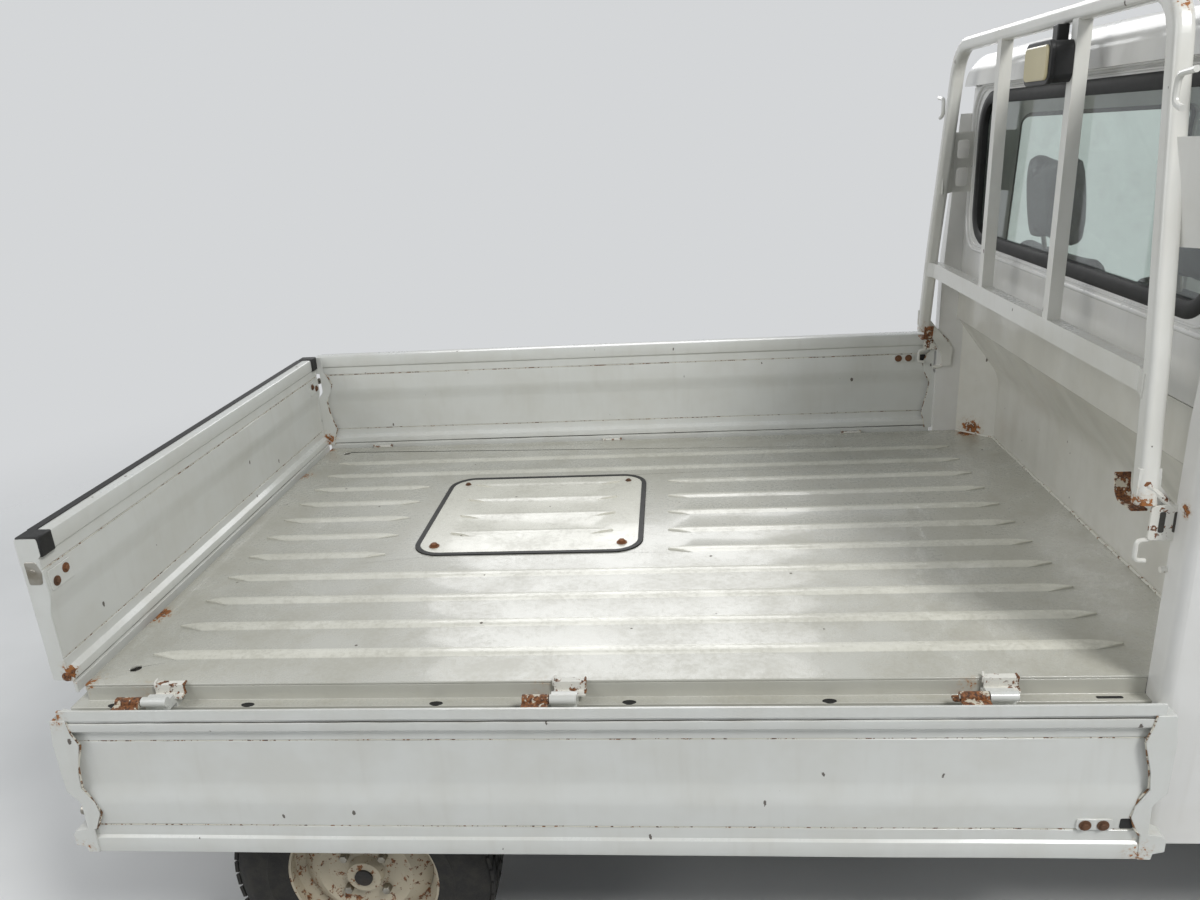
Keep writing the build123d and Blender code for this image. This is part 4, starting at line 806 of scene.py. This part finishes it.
def make_work_lamp():
    low, high = corners("work_lamp")
    y0, y1 = low.y, high.y
    z0, z1 = low.z + 2, high.z - 30
    middle = (y0 + y1) / 2
    shell = slab("X", (y0, y1), (z0, z1), (low.x + 10, high.x - 12), 16)
    rim = slab("X", (y0 - 2, y1 + 2), (z0 - 2, z1 + 2), (low.x + 4, low.x + 14), 18)
    back = slab("X", (y0 + 18, y1 - 18), (z0 + 14, z1 - 14), (high.x - 14, high.x), 14)
    strap = box(high.x - 30, high.x - 8, middle - 12, middle + 12, z1 - 5, high.z)
    rib_y = [y0 + 14 + 16 * k for k in range(7)]
    ribs = [box(high.x - 26, high.x - 11, y, y + 4, z0 + 5, z1 - 1) for y in rib_y]
    shell = [shell, rim, back, strap] + ribs
    piece("work_lamp_shell", shell, black_plastic, soft=3, stands_for=("work_lamp",))
    lens = slab("X", (y0 + 6, y1 - 6), (z0 + 6, z1 - 6), (low.x, low.x + 8), 12)
    piece("work_lamp_glass", [lens], work_lens, soft=3)
    lead = [(high.x - 2, middle + 20, z0 + 24), (high.x + 26, middle + 34, z0 + 6),
            (high.x + 40, middle + 60, z1 + 20), (high.x + 34, middle + 90, z1 + 44)]
    piece("work_lamp_lead", [tube(bent(lead, 30), 3.2, 8)], moulded_rubber)


# Windows


def pane_edge(node_name, outwards):
    """Edge of the pane's face that looks outwards, as a closed path in millimetres."""
    mesh = nodes[node_name].data
    outwards = Vector(outwards)
    best = max((f for f in mesh.polygons if f.normal.dot(outwards) > 0.5), key=lambda f: f.area)
    level = best.normal.dot(best.center)
    edges = []
    for face in mesh.polygons:
        if face.normal.dot(best.normal) < 0.999 or abs(face.center.dot(best.normal) - level) > 0.001:
            continue
        ring = [tuple(round(c, 5) for c in mesh.vertices[i].co) for i in face.vertices]
        for a, b in zip(ring, ring[1:] + ring[:1]):
            if (b, a) in edges:
                edges.remove((b, a))
            else:
                edges.append((a, b))
    follow = dict(edges)
    path = [next(iter(follow))]
    while follow.get(path[-1], path[0]) != path[0]:
        path.append(follow[path[-1]])
    return [Vector(p) / MM for p in path], best.normal.copy()


PANES = (
    # node, looks towards, body, half width of its rubber, piece
    ("windshield", (1, 0, 0.3), "body", 15, "windshield_gasket"),
    ("rear_window", (-1, 0, 0), "body", 15, "rear_window_gasket"),
    ("quarter_glass", (0, 1, 0), "body", 11, "quarter_gasket_left"),
    ("quarter_glass", (0, -1, 0), "body", 11, "quarter_gasket_right"),
    ("door_glass_left", (0, 1, 0), "door_left", 11, "door_gasket_left"),
    ("door_glass_right", (0, -1, 0), "door_right", 11, "door_gasket_right"),
)


def make_gaskets():
    for node_name, towards, body, half, name in PANES:
        path, normal = pane_edge(node_name, towards)
        # The rear window's rubber stands further out than the others
        reach = 10 if node_name == "rear_window" else 2
        lip = reach + 4.5
        section = [(-half, -8), (half, -8), (half, reach), (half * 0.55, lip), (-half * 0.55, lip),
                   (-half, reach)]
        piece(name, [sweep(path, section, True, up=normal)], moulded_rubber, body)
    path = pane_edge("rear_window", (-1, 0, 0))[0]
    middle = sum(path, Vector()) / len(path)

    def outwards(part):
        return math.copysign(min(1, abs(part) * 1.6), part)
    for grow, radius in ((62, 5), (40, 2.6)):
        ring = []
        for p in path:
            away = (p - middle).normalized()
            ring.append(Vector((PLANE_X - 0.5, p.y + grow * outwards(away.y), p.z + grow * outwards(away.z))))
        piece("window_swage_%d" % grow, [tube(ring, radius, 10, closed=True)], body_enamel)


# Cab outside


def make_mirrors():
    low, high = corners("side_mirrors")
    x = (low.x + high.x) / 2
    y = high.y - 60
    z0, z1 = high.z - 220, high.z
    head = slab("X", (y - 60, y + 60), (z0, z1), (x - 16, x + 20), 28)
    hood = slab("X", (y - 50, y + 50), (z0 + 10, z1 - 10), (x + 18, x + 32), 26)
    arm = tube(bent([(x, CAB_Y - 2, low.z + 9), (x, y + 3, low.z + 9), (x, y + 3, z0 + 60)], 40), 8)
    foot = slab("Y", (x - 26, x + 26), (low.z - 12, low.z + 30), (CAB_Y - 4, CAB_Y + 10), 12)
    shell = both_sides([head, hood, arm, foot])
    piece("mirror_shells", shell, black_plastic, soft=5, stands_for=("side_mirrors",))
    mirror = slab("X", (y - 52, y + 52), (z0 + 8, z1 - 8), (x - 18, x - 15), 22)
    piece("mirror_glass", both_sides([mirror]), reflector, soft=1)


def make_doors():
    """Pull handle over its dished plate, the lock, the trim board inside, its winder and armrest."""
    face = CAB_Y
    for name, side in SIDES:
        body = "door_" + name
        inner_y = min(abs(corner.y) for corner in corners(body))

        def add(piece_name, shapes, material, soft):
            shapes = [shape if side > 0 else other_side(shape) for shape in shapes]
            piece(piece_name + "_" + name, shapes, material, body, soft=soft)
        dish = slab("Y", (424, 544), (996, 1046), (face - 1.5, face + 1.2), 14)
        pull = [(436, -2), (440, 17), (528, 17), (532, -2)]
        pull = tube(bent([(x, face + proud, 1026) for x, proud in pull], 9), 8, 12)
        add("door_handle", [dish, pull], black_plastic, 1.5)
        lock = lathe([(0, 0), (13, 0), (13, 2.4), (10, 3.4), (0, 3.4)], (440, face - 0.4, 968), (0, 1, 0), 24)
        add("door_lock", [lock], zinc, 0.4)
        board = slab("Y", (430, 930), (500, 1090), (inner_y - 4, inner_y + 1), 30)
        rest = slab("Y", (520, 820), (830, 878), (inner_y - 44, inner_y - 2), 20)
        add("door_board", [board, rest], door_trim, 3)
        crank = [(760, inner_y - 20, 760), (700, inner_y - 24, 800), (690, inner_y - 26, 806)]
        winder = [rod((760, inner_y - 2, 760), (760, inner_y - 22, 760), 14, 18),
                  tube(bent(crank, 10), 7, 10),
                  rod((692, inner_y - 24, 805), (692, inner_y - 48, 805), 9, 14)]
        add("window_winder", winder, black_plastic, 1)


def number_plate(x, z):
    """Blank plate of 330 by 164 mm, its face at x and its foot at z."""
    return slab("X", (-165, 165), (z, z + 164), (x - 2, x), 8)


def make_front_details():
    low, high = corners("headlamps")
    for name, side in SIDES:
        y0, y1 = sorted((side * high.y, side * (high.y - 195)))
        cup = slab("X", (y0, y1), (low.z, high.z), (low.x, low.x + 12), 30)
        bowl = lathe([(0, 2), (24, 4), (48, 14), (56, 26), (58, 26), (58, 0), (0, 0)],
                     (low.x + 4, (y0 + y1) / 2, (low.z + high.z) / 2), (1, 0, 0), 40)
        piece("headlamp_reflector_" + name, [cup, bowl], reflector, soft=2)
    face = corners("front_panel")[1].x
    piece("front_number_plate", [number_plate(NOSE_X + 4, 388)], plate_white, soft=0.6)
    bolts = [bolt((NOSE_X + 4, y, 537), (1, 0, 0), 11) for y in (-105, 105)]
    piece("front_plate_bolts", bolts, zinc, soft=0.4)
    signal = slab("X", (470, 640), (404, 470), (NOSE_X - 12, NOSE_X + 3), 10)
    piece("turn_signals", both_sides([signal]), amber_lens, soft=3)
    slat_z = [600 + 34 * k for k in range(4)]
    slats = [slab("X", (-400, 400), (z, z + 16), (face - 2, face + 5), 6) for z in slat_z]
    piece("front_air_slats", slats, black_plastic, soft=2)
    piece("front_strip", [box(face - 2, face + 4, -430, 430, 742, 756)], black_plastic, soft=2)
    flank = rounded([(1500, CAB_Y - 1.5), (1560, CAB_Y - 1.5, 120), (1654, CAB_Y - 76), (1651, CAB_Y - 79.5),
                     (1559, CAB_Y - 5, 116), (1500, CAB_Y - 5)])
    piece("front_corner_sheets", both_sides([prism(flank, 515, 905, "Z")]), body_enamel)
    side_lamp = slab("Y", (1120, 1184), (806, 838), (CAB_Y - 2, CAB_Y + 9), 8)
    piece("side_indicators", both_sides([side_lamp]), amber_lens, soft=3)


def make_rear_details():
    low, high = corners("rear_lamps")
    white = box(low.x - 1.5, low.x + 6, 508, 552, 528, 592)
    amber = box(low.x - 1.5, low.x + 6, 556, 606, 528, 592)
    piece("rear_white_lenses", both_sides([white]), clear_lens, soft=2)
    piece("rear_amber_lenses", both_sides([amber]), amber_lens, soft=2)
    plate_x = low.x + 6
    holder = [box(plate_x, plate_x + 6, -120, 120, 500, 628), box(plate_x, plate_x + 40, -60, 60, 610, 628)]
    piece("rear_number_plate", [number_plate(plate_x, 478)], plate_white, soft=0.6)
    piece("rear_plate_holder", holder, black_plastic, soft=1)
    lamp = slab("X", (-42, 42), (646, 668), (plate_x - 5, plate_x + 34), 6)
    piece("rear_plate_lamp", [lamp], black_plastic, soft=3)


def make_roof_rails():
    low, high = corners("roof_panel")
    rail = [(low.x + 30, high.y + 1, low.z + 3), (high.x - 90, high.y + 1, low.z + 5)]
    piece("drip_rails", both_sides([tube(through(rail, 90), 5, 8)]), body_enamel)


# Inside the cab


def make_cab_inside():
    low, high = corners("dashboard")
    back = low.x
    hood = [(-2, 1000, 10), (130, 1000, 10), (120, 1062, 26), (16, 1052, 16)]
    hood = prism(rounded([(back + ahead, z, radius) for ahead, z, radius in hood]), -500, -170, "Y")
    dial = [(0, 0), (46, 0), (50, 6), (54, 6), (54, 0)]
    dials = [lathe(dial, (back - 4, y, 985), (-1, 0, 0.25), 32) for y in (-395, -275)]
    vent_y = (-90, 90, 520)
    vents = [slab("X", (y - 60, y + 60), (938, 978), (back - 5, back + 6), 8) for y in vent_y]
    slats = [box(back - 8, back - 3, y - 54, y + 54, z, z + 2) for y in vent_y for z in (944, 953, 962, 971)]
    glove = slab("X", (240, 560), (836, 920), (back - 5, back + 4), 14)
    radio = slab("X", (-90, 90), (850, 905), (back - 7, back + 4), 6)
    piece("instrument_hood", [hood, glove], grey_plastic, soft=4)
    piece("dials_and_vents", dials + vents + slats + [radio], black_plastic, soft=1.2)
    floor_z = 484
    pedals = []
    for y in (-420, -340, -250):
        pedals.append(box(1395, 1405, y - 28, y + 28, floor_z + 105, floor_z + 165))
        arm = [(1402, y, floor_z + 140), (1440, y, floor_z + 250), (1440, y, floor_z + 330)]
        pedals.append(tube(bent(arm, 30), 6, 8))
    piece("pedals", pedals, moulded_rubber, soft=2)
    lever = [tube(bent([(880, 0, floor_z), (900, 0, floor_z + 250), (930, 0, floor_z + 330)], 60), 7, 10),
             lathe([(0, 0), (16, 4), (22, 20), (18, 38), (0, 44)], (926, 0, floor_z + 318), (0.25, 0, 1), 24),
             tube(bent([(640, 90, floor_z), (700, 90, floor_z + 220), (860, 90, floor_z + 280)], 60), 9, 10)]
    piece("gear_and_hand_brake", lever, black_plastic, soft=1)
    visor = slab("Z", (930, 1000), (120, 520), (1668, 1684), 20)
    piece("sun_visors", both_sides([visor]), grey_plastic, soft=4)
    inside = slab("X", (-95, 95), (1592, 1648), (1040, 1056), 20)
    stem = rod((1050, 0, 1640), (1040, 0, 1702), 6, 10)
    piece("inside_mirror", [inside, stem], black_plastic, soft=4)
    belt = box(PLANE_X + 37, PLANE_X + 39, 556, 602, 1185, 1560)
    piece("seat_belts", both_sides([belt]), webbing)


# Seats


def cushion_shape(centre, size, lean, crown):
    """Crowned pad drawn out of a rounded block, its sides pulled in between the corners."""
    length, width, height = size
    points, faces = [], []
    steps, layers = 12, 5
    turn = Matrix.Rotation(math.radians(lean), 4, "Y")
    for layer in range(layers):
        t = layer / (layers - 1)
        squeeze = 1 - 0.10 * (abs(2 * t - 1) ** 2.5)
        for i in range(steps + 1):
            for j in range(steps + 1):
                u, v = 2 * i / steps - 1, 2 * j / steps - 1
                swell = (1 - u ** 4) * (1 - v ** 4)
                x, y = u * length / 2 * squeeze, v * width / 2 * squeeze
                z = (t - 0.5) * (height * 0.72 + crown * swell)
                points.append(tuple(Vector(centre) + turn @ Vector((x, y, z))))
    row = steps + 1
    layer_size = row * row
    for i in range(steps):
        for j in range(steps):
            a = i * row + j
            faces.append((a, a + 1, a + row + 1, a + row))
            b = (layers - 1) * layer_size + a
            faces.append((b, b + 1, b + row + 1, b + row))
    rim = list(range(row)) + [i * row + steps for i in range(1, row)]
    rim += [steps * row + j for j in range(steps - 1, -1, -1)] + [i * row for i in range(steps - 1, 0, -1)]
    for layer in range(layers - 1):
        low, high = layer * layer_size, (layer + 1) * layer_size
        faces += [(low + a, low + b, high + b, high + a) for a, b in zip(rim, rim[1:] + rim[:1])]
    return points, faces


PAD_VOXEL = 9
PAD_PRESSURE = 4
PAD_SWELL_MOST = 12
FILLING_STEPS = 20


def stuffed(pad):
    """Fills a pad with cloth under pressure, its swelling capped, and applies the result."""
    for other in bpy.context.selected_objects:
        other.select_set(False)
    bpy.context.view_layer.objects.active = pad
    pad.select_set(True)
    remesh = pad.modifiers.new("even_mesh", "REMESH")
    remesh.mode = "VOXEL"
    remesh.voxel_size = PAD_VOXEL * MM
    bpy.ops.object.modifier_apply(modifier=remesh.name)
    start = [v.co.copy() for v in pad.data.vertices]
    cloth = pad.modifiers.new("cover", "CLOTH")
    cloth.settings.use_pressure = True
    cloth.settings.uniform_pressure_force = PAD_PRESSURE
    cloth.settings.effector_weights.gravity = 0
    for step in range(1, FILLING_STEPS + 1):
        bpy.context.scene.frame_set(step)
    bpy.ops.object.modifier_apply(modifier=cloth.name)
    bpy.context.scene.frame_set(1)
    for vertex, before in zip(pad.data.vertices, start):
        away = vertex.co - before
        if away.length > PAD_SWELL_MOST * MM:
            vertex.co = before + away.normalized() * PAD_SWELL_MOST * MM
    smoother = pad.modifiers.new("soft_cover", "SUBSURF")
    smoother.levels = 1
    smoother.render_levels = 1


SEAT_PADS = (
    # piece, centre x from the seat's back, centre z over its foot, length, width, height, lean, crown
    ("seat_cushion_", 318, 58, 400, 450, 110, 3, 26),
    ("seat_back_", 112, 318, 500, 440, 90, 79, 22),
    ("head_restraint_", 50, 678, 210, 235, 70, 84, 20),
)


def make_seats():
    low, high = corners("seats")
    for name, side in SIDES:
        y = side * 330
        for pad_name, along_x, up_z, length, width, height, lean, crown in SEAT_PADS:
            stands = ("seats",) if side > 0 and pad_name == "seat_cushion_" else ()
            centre = (low.x + along_x, y, low.z + up_z)
            shape = cushion_shape(centre, (length, width, height), lean, crown)
            pad = piece(pad_name + name, [shape], seat_vinyl, stands_for=stands)
            stuffed(pad)
        posts = [rod((low.x + 62, y + a, low.z + 540), (low.x + 52, y + a, low.z + 600), 6, 12)
                 for a in (-60, 60)]
        piece("head_restraint_posts_" + name, posts, zinc)
        base = box(low.x + 130, low.x + 500, y - 190, y + 190, low.z - 2, low.z + 16)
        piece("seat_frame_" + name, [base], black_plastic, soft=4)


# Wheels

BEAD_SEAT = 152.4
TREAD_ROWS = ((-56, -34), (-29, -10), (-7, 7), (10, 29), (34, 56))
TREAD_BLOCKS = 52


def make_wheel(name):
    low, high = corners("tyre_" + name)
    axle_x, mid_y, axle_z = (low + high) / 2
    tyre_r = (high.x - low.x) / 2
    side = 1 if low.y > 0 else -1
    half = (high.y - low.y) / 2
    body = "wheel_" + name
    out = (0, side, 0)
    # Radius and how far in from the side wall, from the bead on the rim to the shoulder
    sidewall = ((BEAD_SEAT, 14), (166, 9), (175, 6), (186, 1.6), (189, 0.2), (192, 1.4), (200, 0.6), (222, 1),
                (229, 1.6), (232, 3.4), (240, 6), (252, 14), (tyre_r - 8, 20), (tyre_r - 7, 24))
    profile = [(radius, -half + inwards) for radius, inwards in sidewall]
    profile += [(radius, -along_y) for radius, along_y in reversed(profile)]
    carcass = lathe(profile + [(BEAD_SEAT - 0.5, 0)], (axle_x, mid_y, axle_z), out, 72, closed=True)

    def spot(radius, turn, y):
        return axle_x + radius * math.cos(turn), y, axle_z + radius * math.sin(turn)
    blocks = []
    for index, (a, b) in enumerate(TREAD_ROWS):
        outer = index in (0, 4)
        width = math.tau / TREAD_BLOCKS * (0.80 if outer else 0.72)
        skew = 0.02 * (1 if index < 2 else -1 if index > 2 else 0)
        for i in range(TREAD_BLOCKS):
            start = math.tau * (i + 0.35 * (index % 2)) / TREAD_BLOCKS
            end = start + width
            ring = ((a, start - skew), (b, start + skew), (b, end + skew), (a, end - skew))
            points = [spot(radius, turn, mid_y + along_y)
                      for radius in (tyre_r - 9, tyre_r - (2.5 if outer else 0.3)) for along_y, turn in ring]
            faces = [(4, 5, 6, 7), (0, 1, 5, 4), (1, 2, 6, 5), (2, 3, 7, 6), (3, 0, 4, 7), (3, 2, 1, 0)]
            blocks.append((points, faces))
    tread = [carcass] + blocks
    piece("tyre_" + name + "_tread", tread, tyre_rubber, body, stands_for=("tyre_" + name,))
    nut = [(0, 0), (10, 0), (10, 10), (8, 14), (0, 15)]
    nuts = [lathe(nut, spot(55, math.radians(45 + 90 * i), mid_y + side * 37), out, 6) for i in range(4)]
    piece("wheel_nuts_" + name, nuts, zinc, body, soft=0.6)
    cap = [(0, 0), (30, 0), (30, 12), (26, 20), (16, 25), (0, 27)]
    cap = lathe(cap, (axle_x, mid_y + side * 30, axle_z), out, 32)
    piece("hub_cap_" + name, [cap], hub_paint, body, soft=1)
    turn = math.radians(60)
    valve = rod(spot(138, turn, mid_y + side * 46), spot(132, turn, mid_y + side * 68), 3.4, 10)
    piece("tyre_valve_" + name, [valve], moulded_rubber, body)


make_bed_details()
make_side_hinges()
make_side_gates()
make_tailgate()
make_guard_details()
make_work_lamp()
make_gaskets()
make_mirrors()
make_doors()
make_front_details()
make_rear_details()
make_roof_rails()
make_cab_inside()
make_seats()
for wheel_name in ("front_left", "front_right", "rear_left", "rear_right"):
    make_wheel(wheel_name)


# Floor, light and camera


def make_room():
    """Pale floor that fades into the light backdrop, so no far edge shows."""
    material, tree, shader = surface("pale_studio_floor", Roughness=0.9)
    feed(shader, "Base Color", blend(tree, ramp(tree, grain(tree, 900, 3), 0.3, 0.7), "#d9d9d7", "#e2e2e0"))
    away = node(tree, "ShaderNodeVectorMath", {0: place(tree)}, operation="LENGTH").outputs["Value"]
    feed(shader, "Alpha", ramp(tree, away, 2.4, 5.5, 1.0, 0.0))
    bpy.ops.mesh.primitive_plane_add(size=40, location=(0, 0, -0.001))
    floor = bpy.context.object
    floor.name = "studio_floor"
    floor.data.materials.append(material)
    world = bpy.data.worlds.new("soft_sky")
    bpy.context.scene.world = world
    world.use_nodes = True
    tree = world.node_tree
    background = tree.nodes["Background"]
    path = node(tree, "ShaderNodeLightPath")
    seen = maths(tree, "MAXIMUM", path.outputs["Is Camera Ray"], path.outputs["Is Glossy Ray"])
    seen = maths(tree, "MAXIMUM", seen, path.outputs["Is Transmission Ray"])
    feed(background, "Color", blend(tree, seen, "#c4cbd4", "#e4e6e8"))
    feed(background, "Strength", ramp(tree, seen, 0, 1, 0.45, 0.85))


def make_lamp(name, at, aim, size, power):
    light = bpy.data.lights.new(name, "AREA")
    light.shape = "DISK"
    light.size = size
    light.energy = power
    lamp = bpy.data.objects.new(name, light)
    bpy.context.scene.collection.objects.link(lamp)
    lamp.location = at
    lamp.rotation_euler = (Vector(aim) - Vector(at)).to_track_quat("-Z", "Y").to_euler()


CAMERA_AT = (-0.5155, -2.0916, 1.6352)
CAMERA_HEADING = 5.008
CAMERA_PITCH = 70.901
CAMERA_ROLL = -3.323
FOCAL_PIXELS = 913.66
IMAGE_WIDTH = 1200


def make_camera():
    camera = bpy.data.cameras.new("photo_view")
    camera.sensor_width = 36
    camera.lens = FOCAL_PIXELS / IMAGE_WIDTH * camera.sensor_width
    camera.clip_start = 0.05
    holder = bpy.data.objects.new("photo_view", camera)
    bpy.context.scene.collection.objects.link(holder)
    turn = (Matrix.Rotation(math.radians(CAMERA_HEADING), 4, "Z")
            @ Matrix.Rotation(math.radians(CAMERA_PITCH), 4, "X")
            @ Matrix.Rotation(math.radians(CAMERA_ROLL), 4, "Z"))
    holder.matrix_world = Matrix.Translation(CAMERA_AT) @ turn
    bpy.context.scene.camera = holder


make_room()
make_lamp("key_lamp", (2.2, -3.6, 5.2), (0, 0, 0.7), 1.6, 215)
make_lamp("fill_lamp", (-4.5, -2.5, 3.5), (-0.3, 0, 0.8), 3.5, 85)
make_lamp("back_lamp", (-1.0, 5.0, 4.0), (0, 0, 0.8), 3.5, 110)
make_camera()
bpy.context.scene.view_settings.view_transform = "Standard"
